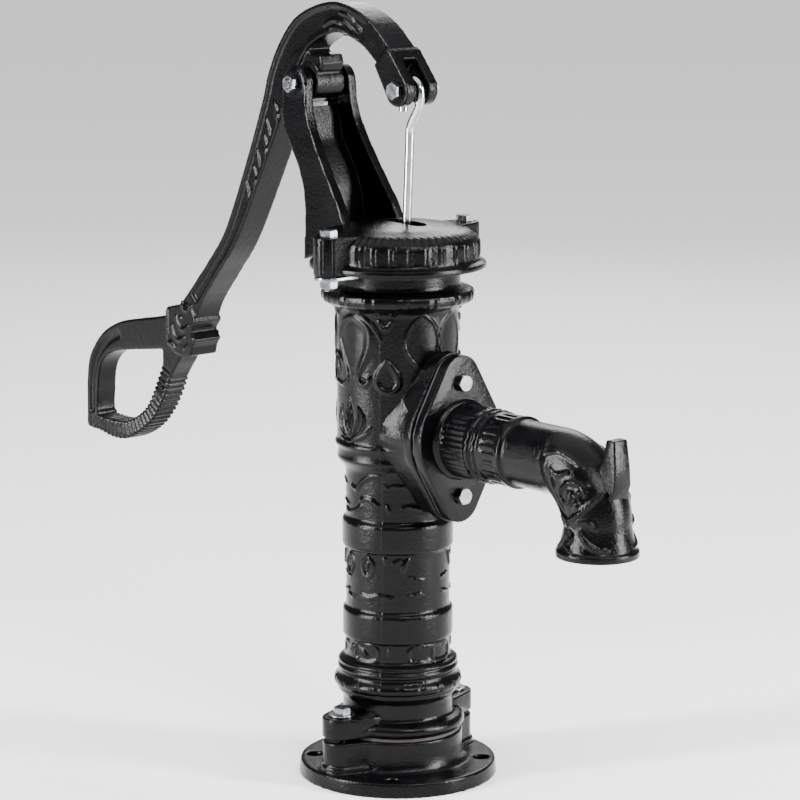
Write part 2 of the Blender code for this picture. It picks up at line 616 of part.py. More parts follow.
def make_plunger(brass, leather, iron, steel):
    origin = (0, 0, PLUNGER_Z)
    z = PLUNGER_Z
    spigot_r = 15.0
    bore_r = 12.5
    follower = [(spigot_r + GAP, z), (31, z), (32, z + 1), (32, z + 7), (31, z + 8), (spigot_r + GAP, z + 8)]
    finish(turned("plunger_follower", follower, 28), iron, origin)
    z += 8 + GAP
    cup = [(spigot_r + GAP, z), (36, z), (37.6, z + 2), (37.7, z + 17), (36.6, z + 17), (35.0, z + 6), (34.0, z + 3.5),
           (spigot_r + GAP, z + 3.5)]
    finish(turned("plunger_cup_leather", cup, 36), leather, origin)
    z += 3.5 + GAP
    top = z + 8
    body = [(bore_r, PLUNGER_Z - 1), (spigot_r, PLUNGER_Z - 1), (spigot_r, z), (32, z), (32.5, z + 5), (30.5, top),
            (bore_r + 1, top), (bore_r, top - 1)]
    cage = turned("plunger_cage", body, 36)
    for quarter in range(4):
        a = math.radians(45 + 90 * quarter)
        leg = box("leg", (22.5, -4, top - 3), (28, 4, CROWN_Z + 4))
        leg.data.transform(Matrix.Rotation(a, 4, "Z"))
        join(cage, leg)
    join(cage, turned("crown", [(0, CROWN_Z), (27, CROWN_Z), (28, CROWN_Z + 1.5), (24, CROWN_Z + 8),
                                (0, CROWN_Z + 8)], 36))
    cut(cage, rod_solid("eye", 7.6, CROWN_Z - 5, CROWN_Z + 15))
    finish(cage, brass, origin)
    valve_z = top + GAP
    valve = [(0, valve_z - 14), (4.5, valve_z - 14), (4.5, valve_z - 1), (11.5, valve_z - 1), (11.8, valve_z),
             (18, valve_z), (18, valve_z + 3.5), (16, valve_z + 4.5), (5, valve_z + 4.5), (4, valve_z + 6.5),
             (0, valve_z + 6.5)]
    finish(turned("plunger_valve", valve, 32), brass, (0, 0, valve_z))
    nut_at = (ROD_FOOT_X, 0, CROWN_Z - 2 * GAP - NUT_T)
    nut = turned("rod_nut", [(ROD_R + GAP, 0), (HEX_R + 1, 0), (HEX_R + 1, NUT_T), (ROD_R + GAP, NUT_T)], 6, nut_at)
    hole = rod_solid("hole", ROD_R + 3 * GAP, -2, NUT_T + 2, nut_at, segments=16)
    finish(cut(nut, hole), steel, (PIN_X, 0, PIN_Z))


# ---------------------------------------------------------------- assembly

for old in list(bpy.data.objects):
    bpy.data.objects.remove(old)

black_iron = material("black_enamelled_iron", (0.006, 0.006, 0.007), 0.22, 0.0)
zinc = material("zinc_plated_steel", (0.62, 0.63, 0.64), 0.28, 1.0)
bright_steel = material("polished_steel", (0.70, 0.70, 0.70), 0.18, 1.0)
tan_leather = material("oiled_leather", (0.16, 0.08, 0.035), 0.65, 0.0)
black_rubber = material("black_rubber", (0.015, 0.015, 0.015), 0.6, 0.0)
yellow_brass = material("cast_brass", (0.55, 0.38, 0.14), 0.35, 1.0)

make_base(black_iron)
make_foot_valve(tan_leather, black_iron, zinc)
make_barrel(black_iron)
make_spout_gasket(black_rubber)
make_spout(black_iron)
make_cap(black_iron)
make_handle(black_iron)
make_rod(bright_steel)
make_plunger(yellow_brass, tan_leather, black_iron, zinc)

pivot = (PIVOT_X, 0, PIVOT_Z)
pin = (PIN_X, 0, PIN_Z)
for side, label in ((-1, "near"), (1, "far")):
    lug_top = BARREL_BOTTOM_Z + LUG_T + GAP
    washer(f"base_washer_{label}", (0, side * LUG_BOLT_Y, lug_top), "+Z", zinc)
    head = (0, side * LUG_BOLT_Y, lug_top + WASHER_T + GAP)
    hex_bolt(f"base_bolt_{label}", head, "+Z", 42, zinc)
    plate_low = make_clamp(f"clamp_plate_{label}", side, zinc)
    hex_bolt(f"cap_bolt_{label}", (0, side * CAP_BOLT_Y, CAP_BOSS_TOP_Z + GAP), "+Z", 45, zinc)
    hex_nut(f"cap_nut_{label}", (0, side * CAP_BOLT_Y, plate_low - GAP - NUT_T), "+Z", zinc)
for side, label in ((-1, "lower"), (1, "upper")):
    at = (SPOUT_FACE_X + GAP, 0, SPOUT_Z + side * SPOUT_BOLT_DZ)
    hex_bolt(f"spout_bolt_{label}", at, "+X", 26, zinc)
outer_face = CHEEK_OUT + 0.8 + GAP
hex_bolt("pivot_bolt", (PIVOT_X, outer_face, PIVOT_Z), "+Y", 2 * outer_face + NUT_T + 1.5, zinc)
hex_nut("pivot_nut", (PIVOT_X, -outer_face, PIVOT_Z), "-Y", zinc)
fork_face = FORK_HALF_W + GAP
hex_bolt("rod_bolt", (PIN_X, -fork_face, PIN_Z), "-Y", 2 * fork_face + NUT_T + 1.5, zinc, pivot)
hex_nut("rod_bolt_nut", (PIN_X, fork_face, PIN_Z), "+Y", zinc, pivot)
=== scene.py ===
import json
import math

import bpy
import numpy as np
from mathutils import Matrix, Vector

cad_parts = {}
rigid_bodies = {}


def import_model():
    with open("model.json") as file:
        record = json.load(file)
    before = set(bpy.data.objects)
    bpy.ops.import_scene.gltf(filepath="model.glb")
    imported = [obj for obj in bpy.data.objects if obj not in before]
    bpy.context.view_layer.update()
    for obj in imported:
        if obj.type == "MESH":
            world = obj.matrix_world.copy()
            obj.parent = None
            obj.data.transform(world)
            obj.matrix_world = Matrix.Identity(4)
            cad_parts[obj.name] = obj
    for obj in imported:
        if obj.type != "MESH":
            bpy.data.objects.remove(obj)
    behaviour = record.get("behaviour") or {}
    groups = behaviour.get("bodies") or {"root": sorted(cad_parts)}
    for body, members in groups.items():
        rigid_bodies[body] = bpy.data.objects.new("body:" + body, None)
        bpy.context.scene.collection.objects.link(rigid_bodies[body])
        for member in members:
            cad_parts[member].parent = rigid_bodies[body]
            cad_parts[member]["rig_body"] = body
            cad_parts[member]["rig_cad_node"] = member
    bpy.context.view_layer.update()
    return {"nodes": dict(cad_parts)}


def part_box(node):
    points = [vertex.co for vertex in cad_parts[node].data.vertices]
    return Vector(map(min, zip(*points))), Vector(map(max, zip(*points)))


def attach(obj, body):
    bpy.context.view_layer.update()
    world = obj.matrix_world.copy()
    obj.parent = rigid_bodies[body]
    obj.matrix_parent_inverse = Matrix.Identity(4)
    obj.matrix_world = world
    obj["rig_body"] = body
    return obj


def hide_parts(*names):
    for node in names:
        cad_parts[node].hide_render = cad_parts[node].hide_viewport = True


mm = 0.001

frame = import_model()
print("frame loaded:", len(frame["nodes"]), "nodes")


# Materials

def hexColour(code):
    channels = [int(code[i:i + 2], 16) / 255 for i in (1, 3, 5)]
    linear = [c / 12.92 if c <= 0.04045 else ((c + 0.055) / 1.055) ** 2.4 for c in channels]
    return (*linear, 1.0)


def addNode(tree, kind, settings, links=()):
    # settings are node options or socket values, and links are (own socket, other node, its output)
    node = tree.nodes.new(kind)
    for name, value in settings.items():
        if name in node.inputs:
            node.inputs[name].default_value = value
        else:
            setattr(node, name, value)
    for socket, other, output in links:
        tree.links.new(other.outputs[output], node.inputs[socket])
    return node


def perMetre(sizeMm):
    return 1.0 / (sizeMm * mm)


def newMaterial(name, uniform):
    material = bpy.data.materials.new(name)
    material.use_nodes = True
    shader = material.node_tree.nodes["Principled BSDF"]
    for socket, value in uniform.items():
        shader.inputs[socket].default_value = value
    return material, material.node_tree, shader


def castIron(name, look):
    # Sand-cast iron under black enamel: a deep black gloss film that softens the sand grain
    # into orange peel, pools smooth on the flats and breaks highlights into speckle
    material, tree, shader = newMaterial(name, {"Metallic": 0.0, "IOR": 1.5, "Specular IOR Level": 0.11,
                                                "Coat Weight": look["coat"], "Coat IOR": 1.5,
                                                "Coat Roughness": look["coatRoughness"]})
    place = addNode(tree, "ShaderNodeTexCoord", {})
    patches = addNode(tree, "ShaderNodeTexNoise", {"Scale": perMetre(look["patchMm"]), "Detail": 3.0},
                      [("Vector", place, "Object")])
    grain = addNode(tree, "ShaderNodeTexNoise", {"Scale": perMetre(look["grainMm"]), "Detail": 4.0,
                                                 "Roughness": 0.62}, [("Vector", place, "Object")])
    peel = addNode(tree, "ShaderNodeTexNoise", {"Scale": perMetre(look["peelMm"]), "Detail": 1.5},
                   [("Vector", place, "Object")])
    gloss = addNode(tree, "ShaderNodeMapRange", {"From Min": 0.3, "From Max": 0.7,
                                                 "To Min": look["gloss"][0], "To Max": look["gloss"][1]},
                    [("Value", patches, "Fac")])
    tint = addNode(tree, "ShaderNodeValToRGB", {}, [("Fac", patches, "Fac")])
    tint.color_ramp.elements[0].position = 0.35
    tint.color_ramp.elements[0].color = hexColour(look["colours"][0])
    tint.color_ramp.elements[1].position = 0.7
    tint.color_ramp.elements[1].color = hexColour(look["colours"][1])
    sand = addNode(tree, "ShaderNodeBump", {"Strength": look["grainStrength"], "Distance": 0.32 * mm},
                   [("Height", grain, "Fac")])
    film = addNode(tree, "ShaderNodeBump", {"Strength": look["peelStrength"], "Distance": 0.35 * mm},
                   [("Height", peel, "Fac"), ("Normal", sand, "Normal")])
    tree.links.new(tint.outputs["Color"], shader.inputs["Base Color"])
    tree.links.new(gloss.outputs["Result"], shader.inputs["Roughness"])
    tree.links.new(film.outputs["Normal"], shader.inputs["Normal"])
    tree.links.new(film.outputs["Normal"], shader.inputs["Coat Normal"])
    return material


def plainMetal(name, look):
    # Metals: a fine bump at the scale of the surface's making, and cloudy roughness
    material, tree, shader = newMaterial(name, {"Metallic": 1.0})
    place = addNode(tree, "ShaderNodeTexCoord", {})
    stretch = addNode(tree, "ShaderNodeMapping", {"Scale": look["stretch"]}, [("Vector", place, "Object")])
    fine = addNode(tree, "ShaderNodeTexNoise", {"Scale": perMetre(look["fineMm"]), "Detail": 3.0},
                   [("Vector", stretch, "Vector")])
    cloud = addNode(tree, "ShaderNodeTexNoise", {"Scale": perMetre(look["cloudMm"]), "Detail": 2.0},
                    [("Vector", place, "Object")])
    rough = addNode(tree, "ShaderNodeMapRange", {"From Min": 0.3, "From Max": 0.7,
                                                 "To Min": look["rough"][0], "To Max": look["rough"][1]},
                    [("Value", cloud, "Fac")])
    tint = addNode(tree, "ShaderNodeValToRGB", {}, [("Fac", cloud, "Fac")])
    tint.color_ramp.elements[0].color = hexColour(look["colours"][0])
    tint.color_ramp.elements[1].color = hexColour(look["colours"][1])
    marks = addNode(tree, "ShaderNodeBump", {"Strength": look["strength"], "Distance": 0.05 * mm},
                    [("Height", fine, "Fac")])
    tree.links.new(tint.outputs["Color"], shader.inputs["Base Color"])
    tree.links.new(rough.outputs["Result"], shader.inputs["Roughness"])
    tree.links.new(marks.outputs["Normal"], shader.inputs["Normal"])
    return material


def softGoods(name, look):
    # Leather and rubber: a pored, slightly uneven sheet
    material, tree, shader = newMaterial(name, {"Metallic": 0.0, "IOR": 1.5})
    place = addNode(tree, "ShaderNodeTexCoord", {})
    pores = addNode(tree, "ShaderNodeTexVoronoi", {"Scale": perMetre(look["poreMm"])},
                    [("Vector", place, "Object")])
    cloud = addNode(tree, "ShaderNodeTexNoise", {"Scale": perMetre(look["cloudMm"]), "Detail": 4.0},
                    [("Vector", place, "Object")])
    rough = addNode(tree, "ShaderNodeMapRange", {"To Min": look["rough"][0], "To Max": look["rough"][1]},
                    [("Value", cloud, "Fac")])
    tint = addNode(tree, "ShaderNodeValToRGB", {}, [("Fac", cloud, "Fac")])
    tint.color_ramp.elements[0].color = hexColour(look["colours"][0])
    tint.color_ramp.elements[1].color = hexColour(look["colours"][1])
    skin = addNode(tree, "ShaderNodeBump", {"Strength": look["strength"], "Distance": 0.2 * mm},
                   [("Height", pores, "Distance")])
    tree.links.new(tint.outputs["Color"], shader.inputs["Base Color"])
    tree.links.new(rough.outputs["Result"], shader.inputs["Roughness"])
    tree.links.new(skin.outputs["Normal"], shader.inputs["Normal"])
    return material


# sand grain is about 0.5 mm, drawn at 1.4 mm and up so that it shows
enamelLook = {"colours": ("#020203", "#060607"), "coat": 0.02, "coatRoughness": 0.05, "gloss": (0.07, 0.17),
              "patchMm": 22.0, "grainMm": 2.0, "grainStrength": 1.0, "peelMm": 5.0, "peelStrength": 0.6}
roughLook = {"colours": ("#050506", "#0a0a0a"), "coat": 0.02, "coatRoughness": 0.08, "gloss": (0.26, 0.38),
             "patchMm": 18.0, "grainMm": 1.9, "grainStrength": 1.0, "peelMm": 4.0, "peelStrength": 0.8}
blackEnamel = castIron("blackEnamelOnCastIron", enamelLook)
grainyEnamel = castIron("blackEnamelOnRoughCastIron", roughLook)
rawIron = castIron("rawCastIron", {"colours": ("#2c2a28", "#3a3735"), "coat": 0.0, "coatRoughness": 0.3,
                                   "gloss": (0.55, 0.75), "patchMm": 14.0, "grainMm": 1.4,
                                   "grainStrength": 1.0, "peelMm": 4.0, "peelStrength": 0.3})
zinc = plainMetal("brightZincPlate", {"colours": ("#5d6063", "#8a8d90"), "rough": (0.2, 0.34),
                                      "stretch": (1.0, 1.0, 1.0), "fineMm": 0.9, "cloudMm": 6.0,
                                      "strength": 0.5})
rodSteel = plainMetal("drawnBrightSteel", {"colours": ("#8f9193", "#b4b6b7"), "rough": (0.08, 0.18),
                                           "stretch": (1.0, 1.0, 0.03), "fineMm": 0.8, "cloudMm": 12.0,
                                           "strength": 0.35})
brass = plainMetal("turnedBrass", {"colours": ("#a8813c", "#c9a055"), "rough": (0.22, 0.4),
                                   "stretch": (1.0, 1.0, 1.0), "fineMm": 0.9, "cloudMm": 8.0,
                                   "strength": 0.5})
leather = softGoods("oiledLeather", {"colours": ("#120b07", "#24160c"), "rough": (0.45, 0.7),
                                     "poreMm": 1.2, "cloudMm": 9.0, "strength": 0.6})
rubber = softGoods("blackSheetRubber", {"colours": ("#0d0d0d", "#171717"), "rough": (0.6, 0.8),
                                        "poreMm": 1.6, "cloudMm": 10.0, "strength": 0.25})
print("materials made")


# Modelling tools

def selectOnly(piece):
    if bpy.context.object is not None and bpy.context.object.mode != "OBJECT":
        bpy.ops.object.mode_set(mode="OBJECT")
    bpy.ops.object.select_all(action="DESELECT")
    piece.select_set(True)
    bpy.context.view_layer.objects.active = piece


def walkOutline(name, points):
    # one vertex is walked round the closed outline by extruding it
    bpy.ops.object.select_all(action="DESELECT")
    bpy.ops.mesh.primitive_plane_add(size=mm)
    piece = bpy.context.object
    piece.name = name
    bpy.ops.object.mode_set(mode="EDIT")
    bpy.ops.mesh.select_all(action="SELECT")
    bpy.ops.mesh.merge(type="CENTER")
    here = Vector(points[0]) * mm
    bpy.ops.transform.translate(value=here)
    for point in points[1:] + points[:1]:
        there = Vector(point) * mm
        bpy.ops.mesh.extrude_region_move(TRANSFORM_OT_translate={"value": there - here})
        here = there
    bpy.ops.mesh.select_all(action="SELECT")
    bpy.ops.mesh.remove_doubles(threshold=0.001 * mm)
    return piece


def turnPiece(name, profile, steps):
    # profile is a closed loop of (radius, height), turned about Z
    piece = walkOutline(name, [(r, 0, h) for r, h in profile])
    bpy.ops.mesh.spin(steps=steps, angle=2 * math.pi, center=(0, 0, 0), axis=(0, 0, 1))
    bpy.ops.mesh.select_all(action="SELECT")
    bpy.ops.mesh.remove_doubles(threshold=0.002 * mm)
    bpy.ops.mesh.normals_make_consistent(inside=False)
    bpy.ops.object.mode_set(mode="OBJECT")
    return piece


def plateAlong(name, outline, low, high, axis="Y", edge=0.0):
    # outline is filled at the low side and extruded to the high side
    lift = {"X": lambda u, v: (low, u, v), "Y": lambda u, v: (u, low, v), "Z": lambda u, v: (u, v, low)}[axis]
    piece = walkOutline(name, [lift(u, v) for u, v in outline])
    bpy.ops.mesh.edge_face_add()
    run = {"X": (1, 0, 0), "Y": (0, 1, 0), "Z": (0, 0, 1)}[axis]
    bpy.ops.mesh.extrude_region_move(TRANSFORM_OT_translate={"value": Vector(run) * (high - low) * mm})
    bpy.ops.mesh.select_all(action="SELECT")
    bpy.ops.mesh.normals_make_consistent(inside=False)
    bpy.ops.object.mode_set(mode="OBJECT")
    if edge:
        roundEdges(piece, edge)
    return piece


def applyModifier(piece, kind, settings):
    selectOnly(piece)
    modifier = piece.modifiers.new(kind.lower(), kind)
    for name, value in settings.items():
        setattr(modifier, name, value)
    bpy.ops.object.modifier_apply(modifier=modifier.name)
    return piece


def roundEdges(piece, width, angle=40):
    return applyModifier(piece, "BEVEL", {"width": width * mm, "segments": 3, "limit_method": "ANGLE",
                                          "angle_limit": math.radians(angle)})


def joined(name, pieces):
    # separate bodies in one object, used as one Boolean tool
    selectOnly(pieces[0])
    for piece in pieces[1:]:
        piece.select_set(True)
    if len(pieces) > 1:
        bpy.ops.object.join()
    pieces[0].name = name
    return pieces[0]


def combine(piece, tool, operation):
    applyModifier(piece, "BOOLEAN", {"operation": operation, "solver": "EXACT", "object": tool})
    bpy.data.objects.remove(tool)
    return piece


def castSkin(piece, voxel, smoothing):
    # a casting has no sharp corner: remeshed at an even size, then eased
    applyModifier(piece, "REMESH", {"mode": "VOXEL", "voxel_size": voxel * mm})
    return applyModifier(piece, "SMOOTH", {"factor": 0.5, "iterations": smoothing})


def bar(name, radius, low, high, at, axis="Z", sides=32):
    bpy.ops.object.select_all(action="DESELECT")
    turn = {"X": (0, math.pi / 2, 0), "Y": (-math.pi / 2, 0, 0), "Z": (0, 0, 0)}[axis]
    run = {"X": Vector((1, 0, 0)), "Y": Vector((0, 1, 0)), "Z": Vector((0, 0, 1))}[axis]
    centre = (Vector(at) + run * (low + high) / 2) * mm
    bpy.ops.mesh.primitive_cylinder_add(vertices=sides, radius=radius * mm, depth=(high - low) * mm,
                                        location=centre, rotation=turn)
    piece = bpy.context.object
    piece.name = name
    bpy.ops.object.transform_apply(location=True, rotation=True, scale=True)
    return piece


def curveThrough(points, steps):
    # a Catmull-Rom curve through the points, whatever their length
    rows = np.array([points[0], *points, points[-1]], float)
    t = np.linspace(0, 1, steps, endpoint=False)[:, None]
    curve = []
    for p0, p1, p2, p3 in zip(rows, rows[1:], rows[2:], rows[3:]):
        curve.append(0.5 * (2 * p1 + (p2 - p0) * t + (2 * p0 - 5 * p1 + 4 * p2 - p3) * t ** 2
                            + (3 * p1 - p0 - 3 * p2 + p3) * t ** 3))
    return np.vstack([*curve, rows[-1:]])


def arc(cx, cy, radius, start, end, steps):
    turns = [math.radians(start + (end - start) * i / steps) for i in range(steps + 1)]
    return [(cx + radius * math.cos(a), cy + radius * math.sin(a)) for a in turns]


def stripOutline(spine, steps, grow=0.0):
    # outline of a strip: spine holds (x, z, half width)
    rows = curveThrough(spine, steps)
    run = np.gradient(rows[:, :2], axis=0)
    run /= np.linalg.norm(run, axis=1)[:, None]
    side = np.stack([-run[:, 1], run[:, 0]], 1) * (rows[:, 2:] + grow)
    left, right = rows[:, :2] + side, rows[:, :2] - side
    return [tuple(p) for p in left] + [tuple(p) for p in right[::-1]]


def twoCircles(c1, r1, c2, r2, steps=16):
    span = Vector(c2) - Vector(c1)
    lean = math.degrees(math.acos((r1 - r2) / span.length))
    along = math.degrees(math.atan2(span.y, span.x))
    return arc(*c1, r1, along + lean, along + 360 - lean, steps) + arc(*c2, r2, along - lean, along + lean, steps)


def finely(profile, step, zones=()):
    # more points on the long runs of a profile, and closer still in zones of (low, high, step)
    rows = []
    for a, b in zip(profile, profile[1:]):
        a, b = Vector(a), Vector(b)
        inside = [z[2] for z in zones if z[0] < (a.y + b.y) / 2 < z[1]]
        count = max(1, round((b - a).length / (inside[0] if inside else step)))
        rows += [tuple(a.lerp(b, i / count)) for i in range(count)]
    return rows + [tuple(profile[-1])]


def nearLine(u, v, line):
    # nearest point on a line of (u, v, half width): distance, half width and distance along it
    best = np.full(len(u), 1e9)
    half = np.ones(len(u))
    along = np.zeros(len(u))
    travelled = 0.0
    for a, b in zip(line, line[1:]):
        run = b[:2] - a[:2]
        length = max(float(np.hypot(*run)), 1e-6)
        t = np.clip(((u - a[0]) * run[0] + (v - a[1]) * run[1]) / length ** 2, 0, 1)
        gap = np.hypot(u - a[0] - t * run[0], v - a[1] - t * run[1])
        closer = gap < best
        best[closer] = gap[closer]
        half[closer] = (a[2] + (b[2] - a[2]) * t)[closer]
        along[closer] = travelled + (t * length)[closer]
        travelled += length
    return best, half, along


def strokeHeight(u, v, strokes):
    # strokes are lists of (u, v, half width); each raises a rounded bead from 0 to 1
    raised = np.zeros(len(u))
    for stroke in strokes:
        line = curveThrough(stroke, 6)
        line[:, 2] *= 1.45
        reach = line[:, 2].max()
        low, high = line[:, :2].min(0) - reach, line[:, :2].max(0) + reach
        near = np.flatnonzero((u > low[0]) & (u < high[0]) & (v > low[1]) & (v < high[1]))
        if len(near):
            gap, half, _ = nearLine(u[near], v[near], line)
            raised[near] = np.maximum(raised[near], np.clip(1 - (gap / half) ** 2, 0, 1) ** 1.4)
    return raised


def turnedRelief(degrees, heights, group, radius):
    # a group of strokes in (degrees, z, half width), set round a barrel at several turns
    perDegree = math.radians(radius)
    strokes = [[(d * perDegree, z, half) for d, z, half in stroke] for stroke in group["strokes"]]
    raised = np.zeros(len(degrees))
    for turn, flip in group["turns"]:
        local = (degrees - turn + 180) % 360 - 180
        raised = np.maximum(raised, strokeHeight(local * flip * perDegree, heights, strokes))
    return raised * group["rise"]


def readPoints(piece):
    points = np.empty(len(piece.data.vertices) * 3, np.float32)
    piece.data.vertices.foreach_get("co", points)
    return points.reshape(-1, 3).astype(float) / mm


def writePoints(piece, points):
    piece.data.vertices.foreach_set("co", (points * mm).astype(np.float32).ravel())
    piece.data.update()


def readNormals(piece):
    normals = np.empty(len(piece.data.vertices) * 3, np.float32)
    piece.data.vertices.foreach_get("normal", normals)
    return normals.reshape(-1, 3).astype(float)


def finishPiece(piece, name, material, body, nodes, sharp=35):
    selectOnly(piece)
    bpy.ops.object.shade_smooth_by_angle(angle=math.radians(sharp))
    piece.name = name
    piece.data.materials.clear()
    piece.data.materials.append(material)
    for polygon in piece.data.polygons:
        polygon.material_index = 0
    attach(piece, body)
    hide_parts(*nodes)
    print("made", name, len(piece.data.polygons), "faces")
    return piece


def roundRadius(points):
    return np.hypot(points[:, 0], points[:, 1])


def eased(profile, radius, steps=3):
    # every corner of a profile is rounded
    rows = [tuple(profile[0])]
    for a, b, c in zip(profile, profile[1:], profile[2:]):
        a, b, c = Vector(a), Vector(b), Vector(c)
        start = b + (a - b).normalized() * min(radius, (a - b).length * 0.45)
        end = b + (c - b).normalized() * min(radius, (c - b).length * 0.45)
        for k in range(steps + 1):
            t = k / steps
            rows.append(tuple(start * (1 - t) ** 2 + b * 2 * t * (1 - t) + end * t * t))
    return rows + [tuple(profile[-1])]


def softStep(values, low, high, edge):
    # 1 between low and high, easing to 0 over the edge
    return np.clip((values - low) / edge, 0, 1) * np.clip((high - values) / edge, 0, 1)


def sideRelief(piece, strokes, rise):
    # ornament in side view, raised on both flat sides alike
    points, normals = readPoints(piece), readNormals(piece)
    height = strokeHeight(points[:, 0], points[:, 2], strokes) * rise * np.clip(np.abs(normals[:, 1]) * 1.3, 0, 1)
    writePoints(piece, points + normals * height[:, None])


# Barrel: turned, with ornament raised in the wall, two foot lugs and the pad for the spout

barrelForm = {
    "steps": 272, "rowStep": 2.6, "fine": [(104, 120, 1.3), (147, 198, 1.3), (224, 264, 1.3), (290, 400, 1.15)],
    "corner": 1.2,
    "foot": 42.0, "top": 441.0, "bore": 38.1, "upperBore": 44.5,
    "lugY": 62.6, "lugRadius": 16.5, "lugTop": 59.5, "boltHole": 4.3,
    "spoutZ": 299.4, "padFace": 67.7, "padBack": 57.7, "port": 22.5, "tappingDz": 47.2,
}
barrelOuter = [(53.2, 42.0)] + arc(50.8, 47.2, 5.7, -55, 90, 10)
barrelOuter += [(46.5, 54.0), (46.5, 69.0), (50.0, 73.0), (51.6, 76.0)] + arc(48.0, 82.3, 5.4, -50, 50, 6)
barrelOuter += [(49.5, 89.5), (49.5, 91.5), (51.1, 93.0), (51.1, 96.0), (49.0, 97.3), (50.6, 98.6), (50.6, 101.0)]
barrelOuter += [(44.0, 103.5), (44.0, 120.0), (46.5, 121.5), (46.5, 145.0), (43.7, 146.5), (43.7, 197.5)]
barrelOuter += [(46.8, 199.0), (46.8, 222.0), (43.7, 223.5), (43.7, 264.0), (44.9, 267.0), (49.2, 272.0)]
barrelOuter += [(51.2, 274.4), (50.2, 277.5), (50.0, 284.0), (52.7, 286.0), (52.7, 289.0), (50.8, 290.5)]
barrelOuter += [(50.8, 399.0), (52.0, 402.0), (61.5, 406.5), (63.2, 409.0), (63.2, 414.0), (61.5, 416.5)]
barrelOuter += [(52.2, 419.0), (52.2, 433.0), (62.5, 433.0), (62.5, 441.0), (60.0, 441.0)]

scrollOrnament = {"rise": 1.9, "turns": [(-88, 1), (88, -1), (-150, -1), (150, 1)], "strokes": [
    [(-15, 339, 1.3), (-7, 344, 1.5), (-7, 351, 1.5), (-13, 362, 1.5), (-18, 371, 1.4), (-21, 378, 1.4),
     (-18, 387, 1.6), (-10, 394, 1.8), (1, 397, 2.2), (12, 393, 3.2), (19, 386, 4.2), (20, 378, 4.2),
     (17, 368, 3.2), (12, 359, 2.3), (8, 351, 1.6), (9, 344, 1.4), (14, 341, 1.4), (19, 345, 1.3), (19, 348, 1.2)],
    [(3, 402, 0.8), (12, 399, 1.1), (20, 393, 1.2), (27, 386, 1.2), (31, 379, 0.9)],
    [(-15, 339, 1.3), (-31, 342, 1.3), (-37, 351, 1.4), (-27, 364, 1.3), (-13, 358, 1.2)],
    [(14, 345.5, 1.6), (15, 346, 1.6)], [(-37, 398, 2.2), (-33, 402, 2.0)]]}
dropOrnament = {"rise": 2.0, "turns": [(-52, 1), (52, -1)], "strokes": [
    [(0, 362, 1.2), (-7, 353, 1.6), (-9, 345, 1.8), (-4, 338, 1.8), (4, 337, 2.0), (11, 342, 2.4),
     (10, 351, 2.4), (4, 359, 1.7), (0, 362, 1.2)],
    [(-10, 401, 0.7), (0, 402, 0.9), (9, 400, 0.7)], [(-7, 395, 0.7), (-1, 389, 1.0), (5, 395, 0.7)]]}
leafOrnament = {"rise": 1.1, "turns": [(-16.5, 1), (16.5, -1), (180, 1)], "strokes": [
    [(0, 400, 0.9), (-12, 392, 1.0), (-18, 378, 1.1), (-14, 365, 1.0), (0, 353, 0.9)],
    [(0, 400, 0.9), (11, 392, 1.0), (15.5, 378, 1.1), (12, 365, 1.0), (0, 353, 0.9)]]}
lotusOrnament = {"rise": 1.6, "turns": [(-93, 1), (93, -1), (-156, -1), (156, 1)], "strokes": [
    [(0, 329, 0.7), (-3.2, 320, 1.0), (-4.2, 311, 1.1), (-2.5, 301, 1.0), (0, 297, 0.8)],
    [(0, 329, 0.7), (3.2, 320, 1.0), (4.2, 311, 1.1), (2.5, 301, 1.0), (0, 297, 0.8)],
    [(0, 323, 0.6), (0, 312, 0.9), (0, 301, 0.6)],
    [(-14, 321, 0.6), (-17, 312, 1.0), (-15, 302, 1.1), (-7, 296, 0.9)],
    [(-14, 321, 0.6), (-12, 311, 0.9), (-9, 303, 0.9), (-5, 298, 0.6)],
    [(12, 323, 0.6), (18, 313, 1.1), (15, 302, 1.2), (4, 295, 0.9)],
    [(12, 323, 0.6), (12.5, 312, 0.9), (9, 303, 0.9), (4, 298, 0.6)],
    [(26, 306, 0.7), (20, 300, 1.2), (11, 295.5, 1.2), (0, 292.8, 1.1), (-14, 294, 0.7)]]}
vineOrnament = {"rise": 1.5, "turns": [(-87, 1), (87, -1), (180, 1)], "strokes": [
    [(-15, 253, 1.0), (-6, 251, 1.3), (3, 258, 1.3), (14, 263, 1.2), (28, 264.5, 0.9)],
    [(0, 242, 0.8), (9, 244, 1.4), (17, 242.5, 1.4), (24, 239, 0.8)],
    [(-30, 232, 1.0), (-20, 230, 1.3), (-9, 232, 1.3), (2, 237, 0.9)], [(34, 239, 1.0), (36, 235, 1.6)],
    [(51, 238, 0.7), (60, 238.5, 1.0), (71, 236, 0.7)], [(33, 255, 0.6), (50, 256, 0.7), (64, 253, 0.6)]]}
